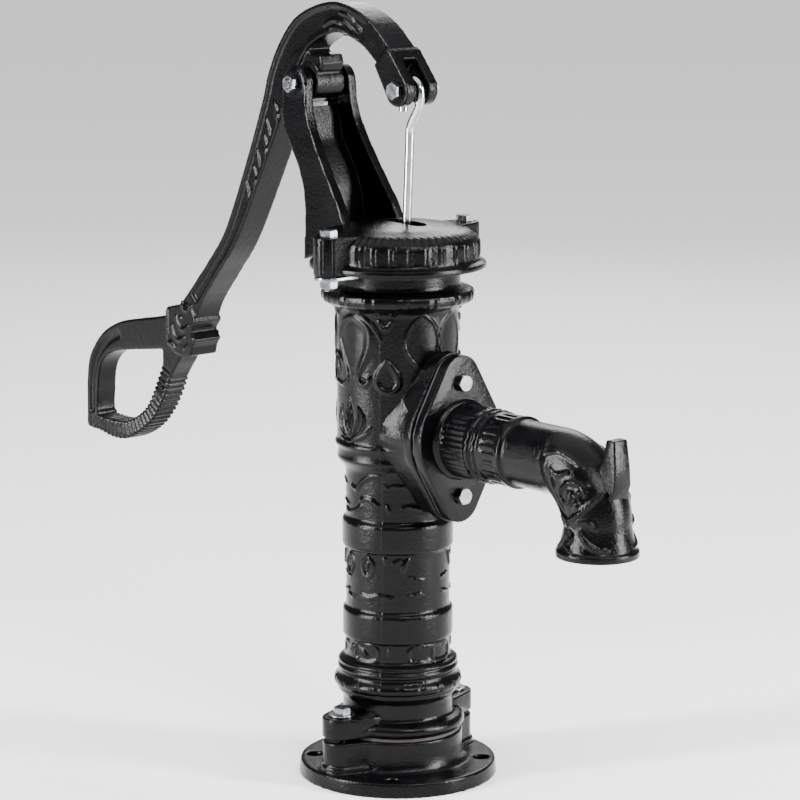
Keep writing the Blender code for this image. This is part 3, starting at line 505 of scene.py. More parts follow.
charmOrnament = {"rise": 1.5, "turns": [(-87, 1), (87, -1), (180, 1)], "strokes": [
    [(-18, 195, 0.9), (-11, 189, 1.4), (-13, 182, 1.4), (-18, 178, 1.2), (-25, 183, 1.3), (-25, 189, 1.3),
     (-18, 195, 0.9)], [(-18, 189, 1.0), (-18, 184, 1.8)],
    [(11, 195, 0.9), (17.5, 189, 1.5), (17, 182, 1.5), (11, 178, 1.2), (5, 182, 1.4), (4.5, 189, 1.4),
     (11, 195, 0.9)], [(11, 189, 1.0), (11, 184, 1.8)],
    [(32, 194.5, 1.9), (32.5, 190, 1.1)], [(40, 190, 0.9), (48, 193, 1.4)],
    [(57, 194, 1.1), (53, 189, 2.2), (51, 183, 1.0)],
    [(-22, 160, 1.0), (-14, 158, 1.3), (-7, 162, 0.9)],
    [(1, 162, 0.8), (12, 159.5, 1.5), (24, 162, 1.3), (40, 161, 0.8)], [(58, 162, 0.8), (71, 163.5, 1.2)],
    [(59, 178, 0.6), (75, 175, 0.9)]]}
footOrnament = {"rise": 1.4, "turns": [(-87, 1), (87, -1), (180, 1)], "strokes": [
    [(-18, 112, 2.0), (-12, 115, 2.0)], [(-2, 116.5, 1.4), (5, 113, 2.4), (10, 109, 1.2)],
    [(37, 118, 1.4), (37, 111, 1.6)], [(69, 117, 0.9), (59, 116, 1.4), (58, 109, 1.0)],
    [(88, 118, 1.0), (88, 106, 1.0), (114, 106, 1.0), (114, 118, 1.0), (88, 118, 1.0)]]}
seamLine = {"rise": 0.4, "turns": [(-57, 1), (57, 1)], "strokes": [[(0, 62, 0.9), (0, 400, 0.9)]]}


def makeBarrel(form):
    inner = [(form["upperBore"], form["top"]), (form["upperBore"], 280.0), (39.1, 268.0),
             (form["bore"], 264.0), (form["bore"], form["foot"])]
    outer = finely(eased(barrelOuter, form["corner"], 1), form["rowStep"], form["fine"])
    barrel = turnPiece("barrelWall", outer + inner, form["steps"])
    points = readPoints(barrel)
    radius, height = roundRadius(points), points[:, 2]
    degrees = np.degrees(np.arctan2(points[:, 1], points[:, 0]))
    wall = radius > np.where(height > 268, 47.5, 41.0)
    rise = np.zeros(len(points))
    upper = (height > 290) & (height < 404)
    middle = (height > 103.5) & (height < 268)
    for ornament in (scrollOrnament, dropOrnament, leafOrnament, lotusOrnament):
        rise = np.maximum(rise, turnedRelief(degrees, height, ornament, 50.8) * upper)
    for ornament in (vineOrnament, charmOrnament, footOrnament):
        rise = np.maximum(rise, turnedRelief(degrees, height, ornament, 44.0) * middle)
    rise = np.maximum(rise, turnedRelief(degrees, height, seamLine, 50.8))
    # plates round the belt, and blocks in pairs on the top ring
    rise += 0.9 * softStep(degrees % 20, 1.2, 18.8, 0.9) * softStep(height, 78.6, 87.0, 0.8)
    rise += 0.9 * softStep(degrees % 24, 3.0, 9.0, 1.0) * softStep(height, 405.5, 417.5, 1.2)
    rise += 0.9 * softStep(degrees % 24, 12.0, 15.0, 1.0) * softStep(height, 405.5, 417.5, 1.2)
    outward = points / radius[:, None]
    outward[:, 2] = 0
    writePoints(barrel, points + outward * (rise * wall)[:, None])

    z0, lugTop = form["foot"], form["lugTop"]
    adders = []
    for side in (-1, 1):
        outline = twoCircles((0, side * 40), 24, (0, side * form["lugY"]), form["lugRadius"], 24)
        adders.append(plateAlong("lug", outline, z0 + 0.15, lugTop, "Z", 1.3))
    spread = diamondOutline(1.0)
    adders.append(plateAlong("pad", spread, form["padBack"], form["padFace"], "X", 1.2))
    web = plateAlong("padWeb", diamondOutline(-2.0), 22.0, form["padBack"] + 3, "X", 1.5)
    adders.append(web)
    extra = combine(joinAll("barrelExtras", adders), bar("inner", 46.0, 0, 460, (0, 0, 0), "Z", 96), "DIFFERENCE")
    combine(barrel, extra, "UNION")
    holes = [bar("port", form["port"], 30, 80, (0, 0, form["spoutZ"]), "X", 64)]
    for side in (-1, 1):
        holes.append(bar("lugHole", form["boltHole"], z0 - 5, lugTop + 5, (0, side * form["lugY"], 0)))
        holes.append(bar("tapping", form["boltHole"], 52, 80,
                         (0, 0, form["spoutZ"] + side * form["tappingDz"]), "X"))
    combine(barrel, joined("barrelHoles", holes), "DIFFERENCE")
    return finishPiece(barrel, "barrel_casting", blackEnamel, "pump_body", ["barrel"], 58)


def diamondOutline(grow):
    # the spout's flange and its pad: a wide middle and two round ears, as (y, z)
    ear, middle, lift, z = 20.0 + grow, 45.0 + grow, 49.7, barrelForm["spoutZ"]
    lean = math.degrees(math.acos((middle - ear) / lift))
    points = []
    for side, base in ((1, 90), (-1, 270)):
        points += arc(0, z + side * lift, ear, base - lean, base + lean, 18)
        points += arc(0, z, middle, base + lean, base + 180 - lean, 12)
    return points


def joinAll(name, pieces):
    # overlapping solids united into one
    base = pieces[0]
    for piece in pieces[1:]:
        combine(base, piece, "UNION")
    base.name = name
    return base


makeBarrel(barrelForm)


# Base: flange, pot and two bolt posts, cast in one

baseForm = {"flangeRadius": 84.0, "flangeTop": 12.5, "top": 39.0, "potRadius": 54.8, "seat": 20.0,
            "holeCircle": 71.0, "holeRadius": 6.35, "postY": 62.6, "postRadius": 16.0, "boltHole": 4.3,
            "voxel": 1.15, "smoothing": 4}


def makeBase(form):
    top, pot = form["top"], form["potRadius"]
    outer = [(0, 0), (form["flangeRadius"], 0), (form["flangeRadius"] - 1.2, form["flangeTop"]),
             (pot + 6, form["flangeTop"]), (pot + 2.6, 14.5), (pot + 0.8, 18.5), (pot, 24), (pot, top), (0, top)]
    base = turnPiece("potAndFlange", outer, 144)
    posts = []
    for side in (-1, 1):
        outline = twoCircles((0, side * 40), 24, (0, side * form["postY"]), form["postRadius"], 24)
        foot = twoCircles((0, side * 40), 26, (0, side * (form["postY"] + 0.4)), form["postRadius"] + 1.6, 24)
        posts.append(plateAlong("post", outline, 8, top - 0.02, "Z"))
        posts.append(plateAlong("postFoot", foot, 8, 17.5, "Z"))
    for post in posts:
        combine(base, post, "UNION")
    inside = [(0, -5), (form["seat"], -5), (form["seat"], 16), (38, 19), (41, 28), (37, 32), (form["seat"], 33),
              (form["seat"], top + 5), (0, top + 5)]
    holes = [turnPiece("inside", inside, 96)]
    for side in (-1, 1):
        holes.append(bar("tapping", form["boltHole"], 22, top + 5, (0, side * form["postY"], 0)))
    for quarter in range(4):
        a = math.radians(45 + 90 * quarter)
        at = (form["holeCircle"] * math.cos(a), form["holeCircle"] * math.sin(a), 0)
        holes.append(bar("flangeHole", form["holeRadius"], -5, 20, at))
    combine(base, joined("baseHoles", holes), "DIFFERENCE")
    castSkin(base, form["voxel"], form["smoothing"])
    return finishPiece(base, "base_casting", blackEnamel, "pump_body", ["base"], 180)


makeBase(baseForm)


# Spout: turned straight with its collars, then laid along its elbow

spoutForm = {"face": 79.3, "plate": 9.5, "axisZ": 299.4, "straight": 114.5, "bend": 44.0,
             "bore": 21.5, "mouth": 28.8, "steps": 160, "rowStep": 1.3, "boltHole": 4.3,
             "boltDz": 47.2, "fluteCount": 40, "windowCount": 28}
spoutOuter = [(0, -6), (33.4, -6), (33.4, 2.0), (31.8, 3.6), (30.2, 4.4), (30.0, 7), (29.6, 33), (30.8, 35.5),
              (30.8, 38), (28.8, 39.5), (28.8, 41), (30.6, 42.5), (30.6, 45), (29.0, 47), (29.2, 49), (29.2, 70),
              (29.8, 71.5), (29.8, 73.5), (27.4, 75.5), (27.2, 80), (27.2, 184), (27.7, 188), (28.6, 193),
              (30.2, 199), (31.0, 202), (33.3, 203.8), (33.3, 209.0), (30.5, 209.0), (0, 209.0)]
elbowOrnament = [
    [(200, 318, 1.0), (203, 309, 1.3), (202, 297, 1.4), (209, 281, 1.5), (221, 266, 1.6), (232, 261, 1.5)],
    [(232, 261, 1.5), (246, 271, 1.5), (258, 288, 1.4), (261, 300, 1.1)],
    [(203, 309, 1.2), (214, 312, 1.1), (226, 309, 1.2), (237, 303, 1.0)],
    [(226, 275, 1.3), (223, 283, 1.5), (231, 291, 1.7), (241, 290, 1.6), (246, 284, 1.4)],
    [(233, 276, 2.6), (234, 283, 2.6)], [(241, 273, 1.0), (238, 280, 1.4), (246, 290, 1.0)],
    [(212, 300, 1.0), (219, 296, 1.7), (228, 299, 1.0)], [(215, 286, 0.9), (213, 293, 1.3)],
    [(220, 263, 1.0), (228, 255, 1.4), (226, 245, 1.5), (219, 238, 1.1)],
    [(232, 256, 1.0), (238, 250, 1.5), (235, 241, 1.4), (240, 236.5, 1.0)],
    [(243, 261, 1.0), (251, 262, 1.4), (256, 257, 1.0)],
    [(245, 254, 1.2), (250, 247, 1.8), (258, 241, 1.4), (264, 240, 1.0)]]


def bendPoints(points, form):
    # distance along the axis becomes the way along the flange, the elbow and the mouth
    s, bend = points[:, 2], form["bend"]
    turn = np.clip((s - form["straight"]) / bend, 0, math.pi / 2)
    past = np.maximum(s - form["straight"] - bend * math.pi / 2, 0)
    centreX = form["face"] + np.minimum(s, form["straight"]) + bend * np.sin(turn)
    centreZ = form["axisZ"] - bend + bend * np.cos(turn) - past
    up = points[:, 0]
    return np.stack([centreX + up * np.sin(turn), points[:, 1], centreZ + up * np.cos(turn)], 1)


def makeSpout(form):
    side = finely(eased(spoutOuter, 0.9, 2)[1:-1], form["rowStep"])
    tube = turnPiece("spoutTube", [spoutOuter[0]] + side + [spoutOuter[-1]], form["steps"])
    points = readPoints(tube)
    radius, s = roundRadius(points), points[:, 2]
    turn = np.arctan2(points[:, 1], points[:, 0])
    flutes = np.clip(np.cos(turn * form["fluteCount"]) * 1.4, -1, 1) * softStep(s, 7.5, 32.5, 2.0)
    windows = np.clip(0.3 - np.cos(turn * form["windowCount"]), 0, 1) * softStep(s, 51.5, 68.5, 2.5)
    beads = np.cos(turn * 24) * (softStep(s, 34.5, 38.5, 1.0) + softStep(s, 42, 45.5, 1.0))
    rise = 0.55 * flutes - 1.0 * windows + 0.35 * beads
    outward = points / np.maximum(radius, 1)[:, None]
    outward[:, 2] = 0
    points += outward * (rise * (radius > 25))[:, None]
    writePoints(tube, bendPoints(points, form))
    outwardFaces(tube)
    sideRelief(tube, elbowOrnament, 1.9)

    plate = plateAlong("spoutFlange", diamondOutline(0.0), form["face"] - form["plate"], form["face"], "X", 1.1)
    hook = plateAlong("bucketHook", [(249, 262), (256, 268), (264.9, 290), (264.4, 305), (262, 326), (252.8, 326),
                                     (249.5, 308), (243, 294), (240, 282)], -9.6, 9.6, "Y")
    points = readPoints(hook)
    points[:, 1] *= 1.0 - 0.22 * np.clip((points[:, 2] - 285) / 41, 0, 1)
    writePoints(hook, points)
    roundEdges(hook, 1.4)
    combine(tube, plate, "UNION")
    combine(tube, hook, "UNION")

    bore = [(0, -30), (form["bore"], -30)] + [(form["bore"], s) for s in range(-28, 186, 4)]
    bore += [(22.5, 190), (25.0, 198), (form["mouth"], 205), (form["mouth"], 215), (0, 215)]
    water = turnPiece("waterway", bore, 72)
    writePoints(water, bendPoints(readPoints(water), form))
    outwardFaces(water)
    combine(tube, water, "DIFFERENCE")
    holes = [bar("boltHole", form["boltHole"], form["face"] - 15, form["face"] + 5,
                 (0, 0, form["axisZ"] + side * form["boltDz"]), "X") for side in (-1, 1)]
    combine(tube, joined("spoutHoles", holes), "DIFFERENCE")
    return finishPiece(tube, "spout_casting", blackEnamel, "pump_body", ["spout"])


def outwardFaces(piece):
    selectOnly(piece)
    bpy.ops.object.mode_set(mode="EDIT")
    bpy.ops.mesh.select_all(action="SELECT")
    bpy.ops.mesh.normals_make_consistent(inside=False)
    bpy.ops.object.mode_set(mode="OBJECT")


makeSpout(spoutForm)


# Cap: fluted dome with two bolt bosses, and the bracket that carries the lever

capForm = {"lip": 434.2, "lipRadius": 73.6, "skirt": 68.0, "top": 472.4, "seatZ": 441.3, "boltY": 74.9,
           "bossRadius": 12.5, "bossTop": 465.3, "boltHole": 4.3, "steps": 360, "panels": 30,
           "slotFrom": -5.5, "slotTo": 23.5, "slotHalf": 8.5, "pivot": (-99.5, 580.5), "cheekOut": 28.0,
           "cheekThick": 9.0, "splay": 0.055, "voxel": 1.0, "smoothing": 4}
cheekFront = [(-84.6, 578), (-83.6, 562), (-77.5, 545), (-64.5, 523), (-49, 500), (-37, 483), (-28, 466)]
cheekBack = [(-79, 464), (-80.5, 480), (-83.5, 494.5), (-89.5, 508.5), (-97, 521), (-105, 532), (-112.5, 545),
             (-114.8, 558), (-114.5, 578)]
webBack = cheekBack[:6] + [(-111.5, 546), (-109, 556.5)]
webFront = [(-101, 560), (-97.5, 547), (-95, 533), (-88, 521.5), (-80.5, 508.5), (-74.5, 494.5),
            (-71.5, 480), (-70, 464)]


def curveOutline(points, steps=6):
    return [tuple(p) for p in curveThrough(points, steps)]


def splayed(piece, form):
    # the cheeks and the web between them spread towards the cap
    points = readPoints(piece)
    points[:, 1] += np.sign(points[:, 1]) * form["splay"] * (form["pivot"][1] - points[:, 2])
    writePoints(piece, points)
    return piece


def makeCap(form):
    px, pz = form["pivot"]
    lip, skirt = form["lip"], form["skirt"]
    outer = [(63.2, lip), (form["lipRadius"], lip), (form["lipRadius"], lip + 4.6), (skirt + 1.6, lip + 6.2),
             (skirt, lip + 8), (skirt, 455), (66.4, 459.8), (60, 464.5), (45, 468.8), (25, 471.4), (0, form["top"])]
    inner = [(0, 465), (30, 463.2), (48, 458.8), (52, 454), (52, form["seatZ"]), (63.2, form["seatZ"])]
    dome = turnPiece("dome", finely(eased(outer, 1.6, 2), 2.5, [(455, 467, 1.0)]) + inner, form["steps"])
    points = readPoints(dome)
    radius, height = roundRadius(points), points[:, 2]
    degrees = np.degrees(np.arctan2(points[:, 1], points[:, 0]))
    pitch = 360 / form["panels"]
    shell = (height > lip + 6) & (radius > 56.5) & ((radius > 65) | (height > 455))
    # two slim ribs stand between the panels of the skirt, and short cuts cross the shoulder
    local = degrees % pitch
    rib = softStep(local, 0.2, 2.2, 0.9) + softStep(local, 3.4, 5.4, 0.9)
    cut = softStep(degrees % (pitch / 2), 0.1, 2.1, 0.9) * softStep(radius, 57.0, 67.2, 1.5)
    skirt = softStep(height, lip + 8.5, 458.5, 1.5)
    outward = points / np.maximum(radius, 1)[:, None]
    outward[:, 2] = np.clip((height - 456) / 8, 0, 1)
    lift = 0.9 * rib * skirt - 0.5 * cut * np.clip((height - 457.5) / 1.5, 0, 1)
    points += outward * (lift * shell)[:, None]
    writePoints(dome, points)

    cheekIn, cheekOut = form["cheekOut"] - form["cheekThick"], form["cheekOut"]
    outline = curveOutline(cheekFront) + [(-28, 446), (-60, 441), (-79, lip + 0.3)] + curveOutline(cheekBack)
    outline += arc(px, pz, 15, 172, 8, 24)
    webShape = [(-79, lip + 0.5)] + curveOutline(webBack) + curveOutline(webFront) + [(-70, lip + 0.5)]
    parts = []
    for side in (-1, 1):
        parts.append(splayed(plateAlong("cheek", outline, *sorted((side * cheekIn, side * cheekOut))), form))
        parts.append(bar("pivotBoss", 12.5, *sorted((side * (cheekIn - 0.7), side * (cheekOut + 0.8))),
                         (px, 0, pz), "Y", 64))
    parts.append(splayed(plateAlong("bracketWeb", webShape, -23, 23), form))
    bracket = joinAll("bracket", parts)
    castSkin(bracket, form["voxel"], form["smoothing"])
    bosses = []
    for side in (-1, 1):
        flare = twoCircles((0, side * 48), 19, (0, side * form["boltY"]), form["bossRadius"], 24)
        bosses.append(plateAlong("boss", flare, lip - 1.0, form["bossTop"], "Z", 1.4))
    extras = joinAll("capExtras", [bracket] + bosses)
    hollow = turnPiece("hollow", [(0, 400), (63.0, 400), (63.0, form["seatZ"] + 1), (52.5, form["seatZ"] + 1.2),
                                  (52.5, 454), (47, 462), (0, 466)], 96)
    combine(extras, hollow, "DIFFERENCE")
    combine(dome, extras, "UNION")
    half = form["slotHalf"]
    slot = twoCircles((form["slotFrom"], 0), half, (form["slotTo"], 0), half, 20)
    holes = [plateAlong("slot", slot, 450, 490, "Z"), bar("pivotHole", form["boltHole"], -50, 50, (px, 0, pz), "Y")]
    for side in (-1, 1):
        holes.append(bar("capHole", form["boltHole"], 420, 490, (0, side * form["boltY"], 0)))
        for lean in (-68, -24, 24, 68):
            a, reach = math.radians(90 * side + lean), form["bossRadius"] + 0.7
            at = (reach * math.cos(a), side * form["boltY"] + reach * math.sin(a), 0)
            holes.append(bar("flute", 2.0, lip + 1.0, form["bossTop"] - 2.2, at, "Z", 20))
    combine(dome, joined("capHoles", holes), "DIFFERENCE")
    finishPiece(dome, "cap_casting", blackEnamel, "cap", ["cap_bracket"])
    # the web between the cheeks keeps a rougher skin
    dome.data.materials.append(grainyEnamel)
    for polygon in dome.data.polygons:
        centre = polygon.center / mm
        inside = cheekIn - 0.8 + form["splay"] * (pz - centre.z)
        if 466 < centre.z < 562 and centre.x < -60 and abs(centre.y) < inside and polygon.normal.x > 0.2:
            polygon.material_index = 1
    return dome


makeCap(capForm)


# Lever: swan neck, fork, ribbed sides, knot and loop grip

leverForm = {"half": 13.6, "forkHalf": 17.0, "slotHalf": 7.2, "gripHalf": 11.0, "knotHalf": 15.0, "recess": 2.4,
             "rim": 4.2, "pivot": (-99.5, 580.5), "pin": (17.5, 581.5), "hub": 15.0, "fork": 13.5, "boltHole": 4.3,
             "voxel": 1.12, "smoothing": 3, "ridgePitch": 5.7, "ridgeRise": 0.85}
armSpine = [(-2, 608, 10.5), (-27, 627, 11.5), (-64, 637, 12.8), (-103, 625, 14.5), (-124, 604, 15.3),
            (-138.5, 579, 15), (-148.5, 554.5, 13.5), (-174, 500.8, 11), (-205.5, 441, 8.7), (-232, 408.5, 8.2),
            (-259, 378, 9.5), (-276, 353, 15)]
gripOuter = [(-284, 366), (-308, 356.4), (-340, 350), (-372, 343.5), (-397.6, 332.3), (-414.5, 317),
             (-424.6, 300.6), (-428.2, 278), (-428.6, 252), (-427.5, 237.5), (-410, 236.5), (-392, 233),
             (-373, 233.5), (-356, 239), (-340, 247.5), (-328, 257), (-319, 267), (-312, 277), (-305, 289),
             (-298, 303), (-280, 330)]
gripHole = [(-311, 325), (-340, 321), (-364, 317.5), (-388, 313), (-402, 304), (-409.5, 291), (-411.8, 272),
            (-412, 252), (-396, 248.8), (-372, 249.5), (-356, 254.5), (-341, 263.5), (-333, 271.5),
            (-326.5, 281), (-321.5, 290.5), (-316.5, 300), (-311.5, 311)]
fingerLine = [(-424, 243, 9), (-408, 242.5, 9), (-392, 241, 9), (-373, 241.5, 9), (-356, 247, 9),
              (-340, 255.5, 9), (-330.5, 264, 9), (-322.5, 274, 9), (-315.5, 284, 9), (-310, 296, 9),
              (-304, 309, 9)]
gripGroove = [(-376, 331, 3.4), (-395, 322, 3.8), (-409.5, 308, 3.8), (-417.5, 291, 3.8), (-420, 272, 3.8),
              (-420.3, 252, 3.6)]
leverOrnament = [
    [(-80, 629, 1.0), (-70, 634, 1.5), (-58, 634, 1.8), (-46, 628, 1.6), (-36, 620, 1.0)],
    [(-70, 627, 0.9), (-61, 629, 1.4), (-52, 625, 1.4), (-47, 618, 1.0)], [(-40, 632, 0.9), (-34, 628, 1.5)],
    [(-60, 641, 0.9), (-50, 639, 1.4), (-42, 634, 0.9)], [(-63, 633, 1.8), (-60, 631, 1.8)],
    [(-148, 561, 0.7), (-142, 553, 1.8), (-140, 545, 0.7)], [(-158, 545, 0.7), (-154, 536, 1.6), (-153, 529, 0.7)],
    [(-161, 531, 0.7), (-157, 522, 1.8), (-156, 514, 0.7)], [(-171, 517, 0.7), (-168, 508, 1.6), (-167, 501, 0.7)],
    [(-176, 503, 0.7), (-172, 494, 1.8), (-172, 486, 0.7)], [(-186, 488, 0.7), (-183, 479, 1.6), (-183, 472, 0.7)],
    [(-262, 371, 0.9), (-268, 366, 1.3), (-275, 369, 1.3), (-277, 375, 0.9)],
    [(-266, 352, 1.0), (-274, 348, 1.6), (-281, 352, 1.6), (-284, 359, 1.2)],
    [(-272, 341, 1.0), (-281, 338, 1.6), (-288, 343, 1.4), (-290, 350, 1.0)],
    [(-262, 345, 0.9), (-264, 337, 1.5), (-272, 331, 1.2)], [(-297, 363, 1.1), (-297, 341, 1.1)],
    [(-286, 330, 1.0), (-293, 334, 1.4), (-299, 331, 1.0)], [(-278, 357, 1.5), (-277, 358, 1.5)]]


def makeLever(form):
    (px, pz), (tipX, tipZ) = form["pivot"], form["pin"]
    half, fork = form["half"], form["forkHalf"]
    lever = plateAlong("leverArm", stripOutline(armSpine, 6), -half, half)
    for side in (-1, 1):
        web = plateAlong("recess", stripOutline(armSpine[1:-1], 6, -form["rim"]),
                         *sorted((side * (half - form["recess"]), side * (half + 5))))
        combine(lever, web, "DIFFERENCE")
    hubWeb = curveOutline([(-96, 596), (-101, 608), (-125, 600), (-141, 572), (-146, 548), (-118, 556), (-96, 566)])
    tip = [(-10.5, 601), (4.5, 615.5), (9, 613)] + arc(tipX, tipZ, form["fork"], 38, -145, 24)
    nub = [(-105, 591), (-84, 591), (-81.5, 597), (-84, 604.5), (-105, 605)]
    knot = [(-261, 366), (-270, 371), (-284, 369.5), (-298, 366), (-301, 352), (-300, 336), (-291, 326),
            (-277, 323), (-264, 325), (-262, 333), (-257, 340), (-263, 348), (-256, 357)]
    parts = [plateAlong("hubWeb", hubWeb, -half + 2, half - 2), plateAlong("nub", nub, -half + 1.5, half - 1.5),
             bar("hub", form["hub"], -half - 2, half + 2, (px, 0, pz), "Y", 64), plateAlong("fork", tip, -fork, fork),
             plateAlong("knot", knot, -form["knotHalf"], form["knotHalf"])]
    grip = plateAlong("grip", curveOutline(gripOuter + gripOuter[:1], 4)[:-1], -form["gripHalf"], form["gripHalf"])
    hole = plateAlong("gripHole", curveOutline(gripHole + gripHole[:1], 4)[:-1], -30, 30)
    combine(grip, hole, "DIFFERENCE")
    groove = [plateAlong("groove", stripOutline(gripGroove, 6), *sorted((side * (form["gripHalf"] - 2.6), side * 20)))
              for side in (-1, 1)]
    combine(grip, joined("grooves", groove), "DIFFERENCE")
    for part in parts + [grip]:
        combine(lever, part, "UNION")
    slot = [(14.7, 607), (-4, 591.6), (10, 560), (45, 560), (45, 590)]
    holes = [plateAlong("forkSlot", slot, -form["slotHalf"], form["slotHalf"]),
             bar("pivotHole", form["boltHole"], -40, 40, (px, 0, pz), "Y")]
    combine(lever, joined("leverHoles", holes), "DIFFERENCE")
    combine(lever, bar("pinHole", form["boltHole"], -40, 40, (tipX, 0, tipZ), "Y"), "DIFFERENCE")
    castSkin(lever, form["voxel"], form["smoothing"])
    sideRelief(lever, leverOrnament, 1.5)
    # finger ridges all round the lower bar of the grip
    points, normals = readPoints(lever), readNormals(lever)
    near = np.flatnonzero((points[:, 0] < -300) & (points[:, 2] < 312))
    gap, _, along = nearLine(points[near, 0], points[near, 2], curveThrough(fingerLine, 6))
    ridge = np.cos(2 * math.pi * along / form["ridgePitch"]) * np.clip((11 - gap) / 2, 0, 1)
    ridge *= np.clip(along / 8, 0, 1) * np.clip((along.max() - along) / 8, 0, 1)
    lift = np.zeros(len(points))
    lift[near] = form["ridgeRise"] * np.sign(ridge) * np.abs(ridge) ** 0.7
    writePoints(lever, points + normals * lift[:, None])
    return finishPiece(lever, "lever_casting", blackEnamel, "handle", ["handle"], 180)


makeLever(leverForm)


# Fasteners: M8 hex bolts and nuts with turned chamfers and rolled threads

hexForm = {"corner": 7.506, "head": 5.3, "shank": 4.0, "pitch": 1.25, "threadDepth": 0.45,
           "threaded": 24.0, "hole": 4.1}
axisTurns = {"+Z": Matrix.Identity(4), "+X": Matrix.Rotation(math.pi / 2, 4, "Y"),
             "+Y": Matrix.Rotation(-math.pi / 2, 4, "X"), "-Y": Matrix.Rotation(math.pi / 2, 4, "X")}


def hexBlock(name, low, high, form, bothEnds, corner):
    block = bar(name, corner, low, high, (0, 0, 0), "Z", 6)
    flat = corner * math.cos(math.pi / 6)
    turned = [(0, low - 1), (corner + 2, low - 1), (corner + 2, high - 1.9), (flat - 0.2, high), (0, high)]
    if bothEnds:
        turned = [(0, low), (flat - 0.2, low), (corner, low + 0.8),
                  (corner, high - 0.8), (flat - 0.2, high), (0, high)]
    return combine(block, turnPiece("chamfer", turned, 48), "INTERSECT")


def putPiece(piece, at, axis):
    piece.data.transform(Matrix.Translation(Vector(at)) @ axisTurns[axis])
    piece.data.update()
    return piece


def makeBolt(node, axis, body, form):
    low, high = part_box(node)
    centre = (low + high) / 2
    run = {"+Z": Vector((0, 0, 1)), "+X": Vector((1, 0, 0)), "+Y": Vector((0, 1, 0)), "-Y": Vector((0, -1, 0))}[axis]
    length = max(high - low) / mm - form["head"]
    seat = centre + run * ((length + form["head"]) / 2 - form["head"]) * mm
    head = hexBlock(node + "_head", 0, form["head"], form, False, form["corner"])
    rows = max(8, round(length / form["pitch"] * 5))
    side = [(form["shank"], 1.5 - (length + 1.5) * k / rows) for k in range(rows + 1)]
    shank = turnPiece("shank", [(0, 1.5)] + side + [(0, -length)], 28)
    points = readPoints(shank)
    radius, height = roundRadius(points), points[:, 2]
    turn = np.arctan2(points[:, 1], points[:, 0]) / (2 * math.pi)
    wave = np.abs(((height / form["pitch"] + turn) % 1) * 2 - 1)
    cut = form["threadDepth"] * wave * (height < form["threaded"] - length) * (radius > 3)
    cut += np.clip(0.9 - (height + length), 0, 0.9) * 0.8 * (radius > 3)
    points[:, :2] *= (1 - cut / np.maximum(radius, 1))[:, None]
    writePoints(shank, points)
    bolt = combine(head, shank, "UNION")
    putPiece(bolt, seat, axis)
    return finishPiece(bolt, node + "_m8", zinc, body, [node], 30)


def makeNut(node, axis, body, form):
    low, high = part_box(node)
    centre = (low + high) / 2
    size = high - low
    thick = {"Z": size.z, "Y": size.y}[axis[1]] / mm
    nut = hexBlock(node + "_nut", -thick / 2, thick / 2, form, True, form["corner"])
    tool = [(0, -9), (form["hole"] + 4, -9), (form["hole"] + 0.6, -thick / 2), (form["hole"], -thick / 2 + 0.6),
            (form["hole"], thick / 2 - 0.6), (form["hole"] + 0.6, thick / 2), (form["hole"] + 4, 9), (0, 9)]
    combine(nut, turnPiece("nutHole", tool, 32), "DIFFERENCE")
    putPiece(nut, centre, axis)
    return finishPiece(nut, node + "_m8", zinc, body, [node], 30)


for node, axis, body in (("base_bolt_near", "+Z", "pump_body"), ("base_bolt_far", "+Z", "pump_body"),
                         ("cap_bolt_near", "+Z", "cap"), ("cap_bolt_far", "+Z", "cap"),
                         ("spout_bolt_lower", "+X", "pump_body"), ("spout_bolt_upper", "+X", "pump_body"),
                         ("pivot_bolt", "+Y", "cap"), ("rod_bolt", "-Y", "handle")):
    makeBolt(node, axis, body, hexForm)
for node, axis, body in (("cap_nut_near", "+Z", "cap"), ("cap_nut_far", "+Z", "cap"), ("pivot_nut", "-Y", "cap"),
                         ("rod_bolt_nut", "+Y", "handle")):
    makeNut(node, axis, body, hexForm)


# Plates and washers: the CAD solids with their edges broken

def softCopy(node, name, width, material, body):
    source = frame["nodes"][node]
    copy = source.copy()
    copy.data = source.data.copy()
    copy.parent = None
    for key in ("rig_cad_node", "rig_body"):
        if key in copy:
            del copy[key]
    bpy.context.scene.collection.objects.link(copy)
    selectOnly(copy)
    bpy.ops.object.mode_set(mode="EDIT")
    bpy.ops.mesh.select_all(action="SELECT")
    bpy.ops.mesh.remove_doubles(threshold=0.001 * mm)
    bpy.ops.mesh.dissolve_limited(angle_limit=math.radians(1))
    bpy.ops.object.mode_set(mode="OBJECT")
    roundEdges(copy, width)
    return finishPiece(copy, name, material, body, [node])


for label in ("near", "far"):
    softCopy("clamp_plate_" + label, "clampPlate_" + label, 0.5, zinc, "cap")
    softCopy("base_washer_" + label, "baseWasher_" + label, 0.3, zinc, "pump_body")


# Rod: drawn bar with a hook at the top and a crank below it

rodForm = {"radius": 3.75, "pin": (17.5, 579.05), "hook": 10.5, "foot": (-3.0, 188.0), "sides": 8}


